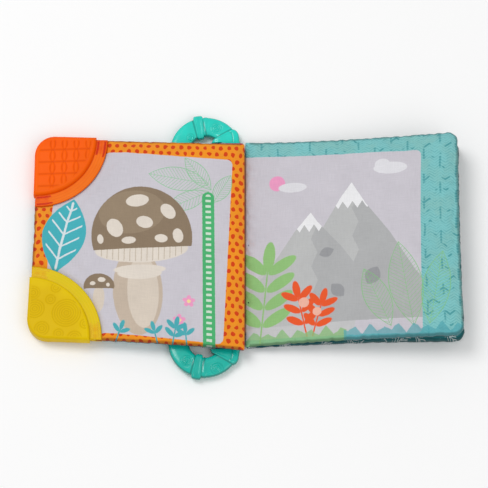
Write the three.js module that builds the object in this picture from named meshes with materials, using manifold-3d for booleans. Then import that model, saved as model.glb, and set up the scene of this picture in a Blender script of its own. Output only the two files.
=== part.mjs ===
// Crinkle cloth book lying open at its front cover. Millimetres, +Z up, spine along Y.
import * as THREE from "three";
import Module from "manifold-3d";
import { mergeVertices } from "three/addons/utils/BufferGeometryUtils.js";

const wasm = await Module();
wasm.setup();

// Clearances and cloth
const gap = 0.3;
const overrun = 3;
const mergeDistance = 0.001;
const clothThickness = 0.8;
const filmThickness = 0.3;
const seamHalf = clothThickness + gap / 2;

// Leaves: a leaf's own length runs from the spine to the fore edge, its height along the spine
const edgeRounding = 8;
const seamInset = 2;
const shoulderInset = 5;
const innerRingShares = [0.72, 0.4];
const squareSteps = 2;
const roundedSteps = 4;
const cutSteps = 8;
const edgeSteps = 4;
const squareCornerRadius = 1.5;
const flatUnderside = 0.5;

// Front cover
const coverWidth = 165;
const coverHeight = 170;
const coverFill = 3.25;
const coverSkew = 10.2;
const coverTaper = 4.5;
const coverForeSkew = 2.5;
const coverSpineShift = -4;
const coverDrawIn = 0.8;
const coverSpineGap = 0.5;

// Inner leaf and back cover
const leafWidth = 165;
const leafHeight = 168;
const leafFill = 4.6;
const leafRise = 18.5;
const leafSkew = 3;
const leafCornerRadius = 9;
const leafDrawIn = 1.2;
const spineFill = 0.7;
const backWidth = 167;
const backHeight = 167;
const backSkew = 4.5;
const spineSeamStep = 4.4;
const blockSpineGap = 0.6;

// Spine strip
const spineThickness = 0.9;
const spineEndInset = 4;
const spineFloor = 0.3;

// Corner teethers
const teetherReach = 50;
const teetherThickness = 11;
const teetherCornerRadius = 17;
const teetherLip = 1.2;
const teetherRounding = 2.5;
const teetherArcSteps = 10;
const teetherBevelSteps = 3;
const flangeMargin = 0.5;
const flangeOverlap = 2;
const flangeThickness = 4.8;
const clothCut = 55;
const cornerWidthShare = 0.95;
const shoulderStep = 0.1;
const slotDepthMargin = 0.8;
const slotThickness = 2.6;

// Ring links
const ringOuterRadius = 27.8;
const ringHoleRadius = 12.2;
const ringThickness = 6.4;
const ringEdgeInset = 4.3;
const ringStepAngle = 12;
const sectionSides = 14;
const sectionRoundnessShare = 0.62;
const collarThickness = 7.4;
const collarReach = 21;
const collarAngle = 105;
const collarTurn = 98.5;
const collarWidth = 7.6;
const collarShoulder = 0.8;
const capFaceLevel = 5.9;
const capFaceInner = 4;
const capFaceOuter = 26.9;
const capSeamX = 13.4;
const capSeamY = 13;
const capSeamTurn = 31;
const capSeamWidth = 18.6;
const capSeamStep = 0.6;
const tubeSeamAngle = 50;

// Ribbon loops
const ribbonThickness = 0.8;
const ribbonWidth = 12;
const ribbonRounding = 2.4;
const ribbonArcSteps = 5;
const neckLength = 1.4;
const neckWidth = 5;
const neckThickness = 2.4;
const neckStandoff = 0.25;
const loopPivot = -1.2;

const degree = Math.PI / 180;

// Colours and roughnesses
const palette = {
  coverCloth: 0xf79a1c,
  coverBack: 0x3fa7ad,
  leafCloth: 0x74c4c4,
  paleCloth: 0x8ed0c8,
  darkCloth: 0x1f7378,
  spineCloth: 0x5fb3b3,
  film: 0xdde3e6,
  padding: 0xf4f2ec,
  orangeTeether: 0xff6a13,
  yellowTeether: 0xe8c80a,
  ribbon: 0x9c1f4a,
  topRing: 0x22d3b5,
  bottomRing: 0x1db79f,
};
const roughness = { cloth: 0.9, padding: 0.95, film: 0.3, teether: 0.45, ribbon: 0.8, ring: 0.3 };

// The cover's corner ends in the teether's slot and stays flat until it is clear of the flange
const clothShoulder = clothCut + shoulderInset;
const flangeReach = clothShoulder - flangeMargin;
const slotReach = clothCut - slotDepthMargin;

// The ring passes through its ribbon loop, which lies on the table and carries the cover's spine side
const ringSpread = leafHeight / 2 - ringEdgeInset;
const loopHeight = ringThickness + 2 * (ribbonThickness + gap);
const ringMidRadius = (ringOuterRadius + ringHoleRadius) / 2;
const ringHalfWidth = (ringOuterRadius - ringHoleRadius) / 2;
const loopWall = loopPivot - neckLength;
const ringCentre = loopWall - ribbonThickness - gap - ringOuterRadius;
const hingeHeight = loopHeight + gap + seamHalf + coverFill + gap;
const coverDrop = hingeHeight - teetherThickness / 2;

// Reads a geometry as a solid that can be cut and joined
function solidFrom(geometry) {
  const bare = new THREE.BufferGeometry().setIndex(geometry.index);
  bare.setAttribute("position", geometry.getAttribute("position"));
  const merged = mergeVertices(bare, mergeDistance);
  const corners = merged.index.array;
  const kept = [];
  for (let i = 0; i < corners.length; i += 3) {
    const [a, b, c] = corners.slice(i, i + 3);
    if (a !== b && b !== c && c !== a) kept.push(a, b, c);
  }
  return new wasm.Manifold(
    new wasm.Mesh({
      numProp: 3,
      vertProperties: merged.getAttribute("position").array,
      triVerts: new Uint32Array(kept),
    }),
  );
}

function geometryFrom(solid) {
  const mesh = solid.getMesh();
  const geometry = new THREE.BufferGeometry();
  geometry.setAttribute("position", new THREE.BufferAttribute(mesh.vertProperties, 3));
  geometry.setIndex(new THREE.BufferAttribute(mesh.triVerts, 1));
  return geometry;
}

function named(name, geometry, color, roughnessShare) {
  const shaded = geometry.index ? geometry.toNonIndexed() : geometry;
  shaded.computeVertexNormals();
  const material = new THREE.MeshStandardMaterial({ color, roughness: roughnessShare, metalness: 0 });
  const mesh = new THREE.Mesh(shaded, material);
  mesh.name = name;
  return mesh;
}

// Travel directions along the bottom, fore, top and spine edges, seen from above
const travels = [
  [1, 0],
  [0, 1],
  [-1, 0],
  [0, -1],
];

// One corner of a leaf's outline, inset from its edge: rounded, or cut back round a teether
function cornerPoints(corner, into, outOf, inset) {
  const points = [];
  const cutRadius = corner.cut + inset;
  const reach = [cutRadius * cornerWidthShare, cutRadius];
  const [start, end] = [outOf, into].map((way) => (corner.cut ? Math.asin(inset / reach[way[0] ? 0 : 1]) : 0));
  const radius = Math.max(corner.radius - inset, squareCornerRadius);
  for (let i = 0; i <= corner.steps; i++) {
    const angle = start + ((Math.PI / 2 - start - end) * i) / corner.steps;
    const c = Math.cos(angle);
    const s = Math.sin(angle);
    points.push(
      [0, 1].map((k) =>
        corner.cut
          ? corner.at[k] + reach[k] * (outOf[k] * s - into[k] * c)
          : corner.at[k] + (outOf[k] - into[k]) * (inset + radius) + radius * (into[k] * s - outOf[k] * c),
      ),
    );
  }
  return points;
}

// A cut-back corner has a point more on each side, where the flange's cover ends
function withShoulders(points, corner, into, outOf, inset) {
  if (!corner.cut) return points;
  const step = Math.max(shoulderInset - inset, shoulderStep);
  const steps = [step * cornerWidthShare, step];
  const first = points[0].map((value, k) => value - into[k] * steps[k]);
  const last = points[points.length - 1].map((value, k) => value + outOf[k] * steps[k]);
  return [first, ...points, last];
}

// The closed outline of a leaf at one inset
function outlineAt(leaf, inset) {
  const half = leaf.height / 2;
  const places = [
    [0, -half],
    [leaf.width, -half],
    [leaf.width, half],
    [0, half],
  ];
  const corners = places.map((at, i) => ({ at, ...leaf.corners[i] }));
  const arcs = corners.map((corner, i) => {
    const into = travels[(i + 3) % 4];
    const points = cornerPoints(corner, into, travels[i], inset);
    return withShoulders(points, corner, into, travels[i], inset);
  });
  const outline = [];
  arcs.forEach((arc, i) => {
    const from = arc[arc.length - 1];
    const to = arcs[(i + 1) % 4][0];
    outline.push(...arc);
    for (let j = 1; j <= edgeSteps; j++) {
      const share = j / (edgeSteps + 1);
      outline.push([0, 1].map((k) => from[k] + (to[k] - from[k]) * share));
    }
  });
  return outline;
}

// The outline and its insets, then smaller copies of the last inset, then the middle point
function outlineRings(leaf) {
  const insets = [0, seamInset, shoulderInset, edgeRounding].map((inset) => outlineAt(leaf, inset));
  const middle = [leaf.width / 2, 0];
  const last = insets[insets.length - 1];
  const shrunk = innerRingShares.map((share) =>
    last.map((point) => [0, 1].map((k) => middle[k] + (point[k] - middle[k]) * share)),
  );
  return [...insets, ...shrunk, [middle]];
}

// Sides drawn in between the corners, and the skew and taper that the leaf lies with
function placed(leaf, along, across) {
  const alongShare = along / leaf.width;
  const acrossShare = (2 * across) / leaf.height;
  const sideBow = leaf.drawIn * (1 - (2 * alongShare - 1) ** 2);
  const foreBow = leaf.drawIn * (1 - acrossShare ** 2);
  const taper = (alongShare * leaf.taper) / 2;
  return [
    along + alongShare * ((leaf.foreSkew * acrossShare) / 2 - foreBow),
    across - acrossShare * (sideBow + taper) + leaf.skew * alongShare + leaf.shift,
  ];
}

// Padding height over the seam: full inside, nothing at the edges and under a teether's flange
function fillAt(leaf, along, across) {
  const half = leaf.height / 2;
  const distances = [along, leaf.width - along, half - across, half + across];
  leaf.corners.forEach((corner, i) => {
    if (!corner.cut) return;
    const side = i === 1 ? -half : half;
    distances.push(Math.hypot((along - leaf.width) / cornerWidthShare, across - side) - clothShoulder);
  });
  const share = Math.min(Math.max(Math.min(...distances) / edgeRounding, 0), 1);
  return leaf.fill(along) * Math.sqrt(1 - (1 - share) ** 2);
}

// Heights of a leaf's outer faces and of its middle at a point
function facesAt(leaf, along, across) {
  const fill = fillAt(leaf, along, across);
  const middle = leaf.middle(along);
  const below = leaf.restsFlat ? Math.min(seamHalf + fill, middle) : seamHalf + fill;
  return { top: middle + seamHalf + fill, bottom: middle - below };
}

// A closed sheet between two faces over the outline rings
function sheet(leaf, rings, topAt, bottomAt) {
  const count = rings[0].length;
  const layer = (faceAt) =>
    rings.flat().flatMap(([along, across]) => [
      ...placed(leaf, along, across),
      faceAt(facesAt(leaf, along, across)),
    ]);
  const positions = [...layer(topAt), ...layer(bottomAt)];
  const below = rings.flat().length;
  const faces = [];
  const quad = (a, b, c, d) => faces.push(a, b, c, a, c, d);
  const middle = below - 1;
  const strips = rings.length - 2;
  for (let i = 0; i < count; i++) {
    const next = (i + 1) % count;
    for (let ring = 0; ring < strips; ring++) {
      const outer = ring * count;
      const inner = outer + count;
      quad(outer + i, outer + next, inner + next, inner + i);
      quad(below + inner + next, below + outer + next, below + outer + i, below + inner + i);
    }
    const last = strips * count;
    faces.push(last + i, last + next, middle);
    faces.push(below + last + next, below + last + i, below + middle);
    quad(below + i, below + next, next, i);
  }
  const geometry = new THREE.BufferGeometry();
  geometry.setAttribute("position", new THREE.Float32BufferAttribute(positions, 3));
  geometry.setIndex(faces);
  return geometry;
}

// Cloth, crinkle film, padding and cloth, from the top of a leaf down
function leafMeshes(leaf) {
  const rings = outlineRings(leaf);
  const inside = rings.slice(rings.length - innerRingShares.length - 2);
  const filmTop = clothThickness + gap;
  const padTop = filmTop + filmThickness + gap;
  const layers = [
    [leaf.upper, rings, (f) => f.top, (f) => f.top - clothThickness],
    [leaf.film, inside, (f) => f.top - filmTop, (f) => f.top - filmTop - filmThickness],
    [leaf.pad, inside, (f) => f.top - padTop, (f) => f.bottom + clothThickness + gap],
    [leaf.lower, rings, (f) => f.bottom + clothThickness, (f) => f.bottom],
  ];
  return layers.map(([look, outline, topAt, bottomAt]) =>
    named(look.name, sheet(leaf, outline, topAt, bottomAt), look.color, look.roughness),
  );
}

function looks(name, upper, upperColor, lower, lowerColor) {
  return {
    upper: { name: name + "_" + upper, color: upperColor, roughness: roughness.cloth },
    film: { name: name + "_crinkle_film", color: palette.film, roughness: roughness.film },
    pad: { name: name + "_padding", color: palette.padding, roughness: roughness.padding },
    lower: { name: name + "_" + lower, color: lowerColor, roughness: roughness.cloth },
  };
}

const square = { radius: squareCornerRadius, cut: 0, steps: squareSteps };
const rounded = { radius: leafCornerRadius, cut: 0, steps: roundedSteps };
const cutBack = { radius: 0, cut: clothCut, steps: cutSteps };

const cover = {
  ...looks("front_cover", "reading_cloth", palette.coverCloth, "outer_cloth", palette.coverBack),
  width: coverWidth,
  height: coverHeight,
  corners: [square, cutBack, cutBack, square],
  drawIn: coverDrawIn,
  skew: -coverSkew,
  foreSkew: coverForeSkew,
  taper: coverTaper,
  shift: -coverSpineShift,
  fill: () => coverFill,
  middle: (along) => hingeHeight - coverDrop * (along / coverWidth) ** 2,
};

// The block's padding thickens away from the spine, so that the inner leaf lies clear of the back cover
const flatShare = flatUnderside / leafFill;
const backSeam = seamHalf + spineFill;
const fillRate = leafRise / leafWidth / (3 - flatShare);
const blockFill = (along) => Math.min(leafFill, spineFill + fillRate * along);

const innerLeaf = {
  ...looks("inner_leaf", "front_cloth", palette.leafCloth, "back_cloth", palette.paleCloth),
  width: leafWidth,
  height: leafHeight,
  corners: [square, rounded, rounded, square],
  drawIn: leafDrawIn,
  skew: leafSkew,
  foreSkew: 0,
  taper: 0,
  shift: 0,
  fill: blockFill,
  middle: (along) => backSeam + spineSeamStep + (leafRise * along) / leafWidth,
};

const backCover = {
  ...looks("back_cover", "inner_cloth", palette.paleCloth, "outer_cloth", palette.darkCloth),
  width: backWidth,
  height: backHeight,
  corners: [square, rounded, rounded, square],
  drawIn: leafDrawIn,
  skew: backSkew,
  foreSkew: 0,
  taper: 0,
  shift: 0,
  fill: blockFill,
  middle: (along) => backSeam + (1 - flatShare) * (blockFill(along) - spineFill),
  restsFlat: true,
};

// The strip of cloth that the leaves are sewn to
function spineMesh() {
  const top = facesAt(cover, spineThickness - coverSpineGap, 0).bottom - gap;
  const length = leafHeight - 2 * spineEndInset;
  const geometry = new THREE.BoxGeometry(spineThickness, length, top - spineFloor);
  geometry.translate(-spineThickness / 2, 0, (top + spineFloor) / 2);
  return named("spine_cloth", geometry, palette.spineCloth, roughness.cloth);
}

// A ring sector round the cover's corner, before its width is drawn in to its share
function sector(inner, outer, thickness, back) {
  const outerStart = Math.asin(back / outer);
  const innerStart = Math.asin(back / inner);
  const shape = new THREE.Shape();
  shape.absarc(0, 0, outer, outerStart, Math.PI / 2 - outerStart, false);
  shape.absarc(0, 0, inner, Math.PI / 2 - innerStart, innerStart, true);
  shape.closePath();
  const options = { depth: thickness, bevelEnabled: false, curveSegments: teetherArcSteps };
  return new THREE.ExtrudeGeometry(shape, options).translate(0, 0, -thickness / 2);
}

function teetherBody() {
  const shape = new THREE.Shape();
  const round = teetherCornerRadius - teetherLip;
  const start = Math.asin(-teetherLip / teetherReach);
  shape.absarc(0, 0, teetherReach, start, Math.PI / 2 - start, false);
  shape.absarc(round, round, teetherCornerRadius, Math.PI, 1.5 * Math.PI, false);
  shape.closePath();
  const options = {
    depth: teetherThickness - 2 * teetherRounding,
    bevelThickness: teetherRounding,
    bevelSize: teetherRounding,
    bevelOffset: -teetherRounding,
    bevelSegments: teetherBevelSteps,
    curveSegments: teetherArcSteps,
  };
  return new THREE.ExtrudeGeometry(shape, options).translate(0, 0, teetherRounding - teetherThickness / 2);
}

// A moulded corner with a slotted flange, where the cover's cut-back corner is sewn in
function teetherMesh(name, color, side) {
  const flange = sector(teetherReach - flangeOverlap, flangeReach, flangeThickness, gap);
  const slot = sector(slotReach, flangeReach + overrun, slotThickness, -overrun);
  const moulded = solidFrom(teetherBody()).add(solidFrom(flange)).subtract(solidFrom(slot));
  const geometry = geometryFrom(moulded);
  const positions = geometry.getAttribute("position");
  for (let i = 0; i < positions.count; i++) {
    const along = coverWidth - positions.getX(i) * cornerWidthShare;
    const across = side * (coverHeight / 2 - positions.getY(i));
    const [x, y] = placed(cover, along, across);
    positions.setXYZ(i, x, y, positions.getZ(i) + cover.middle(along));
  }
  if (side > 0) return named(name, geometry, color, roughness.teether);
  const index = geometry.index;
  for (let i = 0; i < index.count; i += 3) {
    const kept = index.getX(i);
    index.setX(i, index.getX(i + 1));
    index.setX(i + 1, kept);
  }
  return named(name, geometry, color, roughness.teether);
}

// A place along the ring: its middle, the way its width runs, and its half sizes
function tubeStation(angle) {
  return {
    x: ringMidRadius * Math.cos(angle * degree),
    y: ringMidRadius * Math.sin(angle * degree),
    turn: angle,
    halfWidth: ringHalfWidth,
    halfThick: ringThickness / 2,
  };
}

function collarStations() {
  const middle = tubeStation(collarAngle);
  const places = [
    [-collarWidth / 2, ringHalfWidth, ringThickness],
    [-collarWidth / 2 + collarShoulder, collarReach / 2, collarThickness],
    [collarWidth / 2 - collarShoulder, collarReach / 2, collarThickness],
    [collarWidth / 2, ringHalfWidth, ringThickness],
  ];
  return places.map(([shift, halfWidth, thickness]) => ({
    x: middle.x - shift * Math.sin(collarAngle * degree),
    y: middle.y + shift * Math.cos(collarAngle * degree),
    turn: collarTurn + (shift / ringMidRadius) / degree,
    halfWidth,
    halfThick: thickness / 2,
  }));
}

function capStations() {
  const wide = collarThickness / 2;
  const under = Math.sqrt(ringOuterRadius ** 2 - capFaceLevel ** 2);
  const inner = Math.sqrt(ringHoleRadius ** 2 - capFaceLevel ** 2);
  const seam = { x: capSeamX, y: capSeamY, turn: capSeamTurn, halfWidth: capSeamWidth / 2, halfThick: wide };
  const face = {
    x: (capFaceInner + capFaceOuter) / 2,
    y: capFaceLevel,
    turn: 0,
    halfWidth: (capFaceOuter - capFaceInner) / 2,
    halfThick: wide,
  };
  const emerging = {
    x: (under + inner) / 2,
    y: capFaceLevel - capSeamStep,
    turn: 0,
    halfWidth: (under - inner) / 2,
    halfThick: ringThickness / 2,
  };
  const entering = { ...tubeStation(tubeSeamAngle), turn: (tubeSeamAngle + capSeamTurn) / 2 };
  return [emerging, face, seam, entering];
}

function ringStations() {
  const clear = collarWidth / ringMidRadius / degree;
  const stations = [...capStations()];
  for (let a = tubeSeamAngle + ringStepAngle; a < collarAngle - clear; a += ringStepAngle) {
    stations.push(tubeStation(a));
  }
  stations.push(...collarStations());
  for (let a = collarAngle + clear; a < 360; a += ringStepAngle) stations.push(tubeStation(a));
  return stations;
}

function ringMesh(name, color) {
  const stations = ringStations();
  const soft = (value) => Math.sign(value) * Math.abs(value) ** sectionRoundnessShare;
  const positions = [];
  for (const place of stations) {
    for (let i = 0; i < sectionSides; i++) {
      const angle = (2 * Math.PI * i) / sectionSides;
      const wide = place.halfWidth * soft(Math.cos(angle));
      const x = place.x + wide * Math.cos(place.turn * degree);
      const y = place.y + wide * Math.sin(place.turn * degree);
      positions.push(x, y, place.halfThick * soft(Math.sin(angle)));
    }
  }
  const faces = [];
  stations.forEach((_, n) => {
    const here = n * sectionSides;
    const there = ((n + 1) % stations.length) * sectionSides;
    for (let i = 0; i < sectionSides; i++) {
      const next = (i + 1) % sectionSides;
      faces.push(here + i, there + i, there + next, here + i, there + next, here + next);
    }
  });
  const geometry = new THREE.BufferGeometry();
  geometry.setAttribute("position", new THREE.Float32BufferAttribute(positions, 3));
  geometry.setIndex(faces);
  geometry.translate(ringCentre, ringSpread, loopHeight / 2);
  return named(name, geometry, color, roughness.ring);
}

function roundedBlock(left, right, bottom, top, rounding, depth) {
  const shape = new THREE.Shape();
  shape.moveTo(left + rounding, bottom);
  shape.lineTo(right - rounding, bottom);
  shape.absarc(right - rounding, bottom + rounding, rounding, -Math.PI / 2, 0, false);
  shape.lineTo(right, top - rounding);
  shape.absarc(right - rounding, top - rounding, rounding, 0, Math.PI / 2, false);
  shape.lineTo(left + rounding, top);
  shape.absarc(left + rounding, top - rounding, rounding, Math.PI / 2, Math.PI, false);
  shape.lineTo(left, bottom + rounding);
  shape.absarc(left + rounding, bottom + rounding, rounding, Math.PI, 1.5 * Math.PI, false);
  const block = new THREE.ExtrudeGeometry(shape, { depth, bevelEnabled: false, curveSegments: ribbonArcSteps });
  return block.rotateX(Math.PI / 2);
}

// A ribbon band round the ring's plain part, with a sewn neck at the spine
function loopMesh(name, color) {
  const lowest = ringSpread + capFaceLevel - 2 * gap;
  const tapered = Math.sqrt(ringHoleRadius ** 2 - (ribbonWidth - capFaceLevel + 2 * gap) ** 2);
  const innerLeft = ringCentre + tapered - gap;
  const innerRight = loopWall - ribbonThickness;
  const wall = ribbonThickness;
  const outside = roundedBlock(innerLeft - wall, loopWall, 0, loopHeight, ribbonRounding, ribbonWidth);
  const inside = roundedBlock(
    innerLeft,
    innerRight,
    wall,
    loopHeight - wall,
    ribbonRounding - wall,
    ribbonWidth + 2 * overrun,
  ).translate(0, overrun, 0);
  const neck = new THREE.BoxGeometry(neckLength + wall / 2 - neckStandoff, neckWidth, neckThickness);
  neck.translate(loopPivot - neckStandoff - (neckLength + wall / 2 - neckStandoff) / 2, 0, loopHeight / 2);
  const band = solidFrom(outside.translate(0, lowest, 0)).subtract(solidFrom(inside.translate(0, lowest, 0)));
  const tab = solidFrom(neck.translate(0, lowest - ribbonWidth / 2, 0));
  return named(name, geometryFrom(band.add(tab)), color, roughness.ribbon);
}

// Assembly
const book = new THREE.Group();
const coverSide = new THREE.Group();
coverSide.rotation.z = Math.PI;
coverSide.position.x = -coverSpineGap;
coverSide.add(
  ...leafMeshes(cover),
  teetherMesh("orange_corner_teether", palette.orangeTeether, -1),
  teetherMesh("yellow_corner_teether", palette.yellowTeether, 1),
);
const blockSide = new THREE.Group();
blockSide.position.x = blockSpineGap;
blockSide.add(...leafMeshes(innerLeaf), ...leafMeshes(backCover));
const topLink = new THREE.Group();
topLink.add(loopMesh("top_ribbon_loop", palette.ribbon), ringMesh("top_ring_link", palette.topRing));
const bottomLink = new THREE.Group();
bottomLink.scale.y = -1;
bottomLink.add(loopMesh("bottom_ribbon_loop", palette.ribbon), ringMesh("bottom_ring_link", palette.bottomRing));
book.add(coverSide, blockSide, spineMesh(), topLink, bottomLink);

export default book;
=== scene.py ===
"""Crinkle cloth book lying open at its cover: padded printed leaves, corner teethers and ring links.

Sizes are in millimetres in the book's own frame, unless a name or docstring says otherwise. The spine
runs along Y, the cover lies to the left of it and the block of leaves to the right.
"""

import logging
import math
from collections.abc import Callable, Iterable
from dataclasses import dataclass, field
from enum import Enum
from functools import reduce

import bmesh
import bpy
import numpy as np
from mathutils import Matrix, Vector
from mathutils.geometry import delaunay_2d_cdt


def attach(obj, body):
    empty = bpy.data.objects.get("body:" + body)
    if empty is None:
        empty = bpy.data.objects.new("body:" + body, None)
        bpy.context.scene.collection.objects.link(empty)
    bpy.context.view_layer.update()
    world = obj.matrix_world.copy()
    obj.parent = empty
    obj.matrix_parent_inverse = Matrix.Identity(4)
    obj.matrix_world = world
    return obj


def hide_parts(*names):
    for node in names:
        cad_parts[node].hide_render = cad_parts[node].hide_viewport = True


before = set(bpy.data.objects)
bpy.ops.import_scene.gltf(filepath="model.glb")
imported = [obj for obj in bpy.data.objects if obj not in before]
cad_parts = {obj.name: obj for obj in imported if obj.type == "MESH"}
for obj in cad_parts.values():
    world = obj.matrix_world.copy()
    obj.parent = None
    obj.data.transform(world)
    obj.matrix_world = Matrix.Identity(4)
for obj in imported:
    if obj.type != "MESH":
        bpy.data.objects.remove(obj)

LOG = logging.getLogger("cloth_book")
MM = 0.001

# Names of the UV map and of the numbers that the meshes carry for their finishes.
PRINT_MAP = "page"
EDGE = "edge_distance"
REACH = "corner_reach"
BORDER = "border_distance"
PAGE_UNIT = 0.1

Numbers = np.ndarray
Pair = tuple[float, float]
Triple = tuple[float, float, float]
Field = Callable[[Numbers, Numbers], Numbers]
Material = bpy.types.Material
Piece = bpy.types.Object
Socket = bpy.types.NodeSocket
Cloth = tuple[str, str, Material]

# Cloth, seams and the corners that are cut back round the teethers.
CLOTH = 0.8
SEAM_GAP = 0.15
SEAM_HALF = CLOTH + SEAM_GAP
SEAM_ROUND = 1.1
ROUNDING = 8.0
CLOTH_SHOULDER = 60.0
CORNER_SHARE = 0.95
# How far in the spine's points count as lying, so that they get no painted seam shade.
UNSHADED_DEPTH = 3.0
FILM_INSET = 8.0
MERGE = 0.002

# The block of leaves: a wedge of padding, thin at the spine.
LEAF_WIDTH = 165.0
LEAF_RISE = 18.5
LEAF_FILL = 4.6
SPINE_FILL = 0.7
SEAM_STEP = 4.4
FLAT_SHARE = 0.5 / LEAF_FILL

# Raised drops on the ring links: each is a centre, from the ring's own, and a reach.
TOP_DROPS = ((-11.9, 10.2, 3.4), (8.1, 18.1, 4.6))
BOTTOM_DROPS = ((-13.4, 15.4, 4.6), (9.6, 21.6, 5.4))
HIDDEN_DROPS = ((-18.5, -9.0, 4.4), (3.0, -20.2, 4.6))


def linear(code: str) -> tuple[float, float, float, float]:
    """Turns a hex colour into linear light.

    Args:
        code: Six hex digits.

    Returns:
        Red, green, blue and an alpha of one.
    """
    parts = [int(code[i : i + 2], 16) / 255 for i in (0, 2, 4)]
    r, g, b = (c / 12.92 if c <= 0.04045 else ((c + 0.055) / 1.055) ** 2.4 for c in parts)
    return (r, g, b, 1.0)


class Value:
    """A number socket that takes part in Python arithmetic by adding Math nodes."""

    def __init__(self, nodes: "Nodes", socket: Socket) -> None:
        """Keeps the socket and the tree that it belongs to."""
        self.nodes = nodes
        self.socket = socket

    def __add__(self, other: "Value | float") -> "Value":
        """Adds."""
        return self.nodes.math("ADD", self, other)

    __radd__ = __add__

    def __sub__(self, other: "Value | float") -> "Value":
        """Subtracts."""
        return self.nodes.math("SUBTRACT", self, other)

    def __rsub__(self, other: "Value | float") -> "Value":
        """Subtracts from a number."""
        return self.nodes.math("SUBTRACT", other, self)

    def __mul__(self, other: "Value | float") -> "Value":
        """Multiplies."""
        return self.nodes.math("MULTIPLY", self, other)

    __rmul__ = __mul__

    def __abs__(self) -> "Value":
        """Drops the sign."""
        return self.nodes.math("ABSOLUTE", self)

    def least(self, other: "Value | float") -> "Value":
        """The smaller of two."""
        return self.nodes.math("MINIMUM", self, other)

    def most(self, other: "Value | float") -> "Value":
        """The larger of two."""
        return self.nodes.math("MAXIMUM", self, other)

    def ramp(self, low: float, high: float, to_low: float = 0.0, to_high: float = 1.0) -> "Value":
        """Maps a range smoothly on to another.

        Args:
            low: Where the result is to_low.
            high: Where the result is to_high, which may be under low.
            to_low: The first result.
            to_high: The last result.

        Returns:
            The mapped value, held at both ends.
        """
        node = self.nodes.add(
            "ShaderNodeMapRange",
            {"interpolation_type": "SMOOTHSTEP"},
            {0: self, 1: low, 2: high, 3: to_low, 4: to_high},
        )
        return Value(self.nodes, node.outputs[0])

    def wave(self, period: float) -> "Value":
        """A triangle wave between 0 and 1 that starts at 0."""
        return self.nodes.math("PINGPONG", self, period / 2) * (2 / period)


Input = Value | Socket | float | tuple | str


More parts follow.
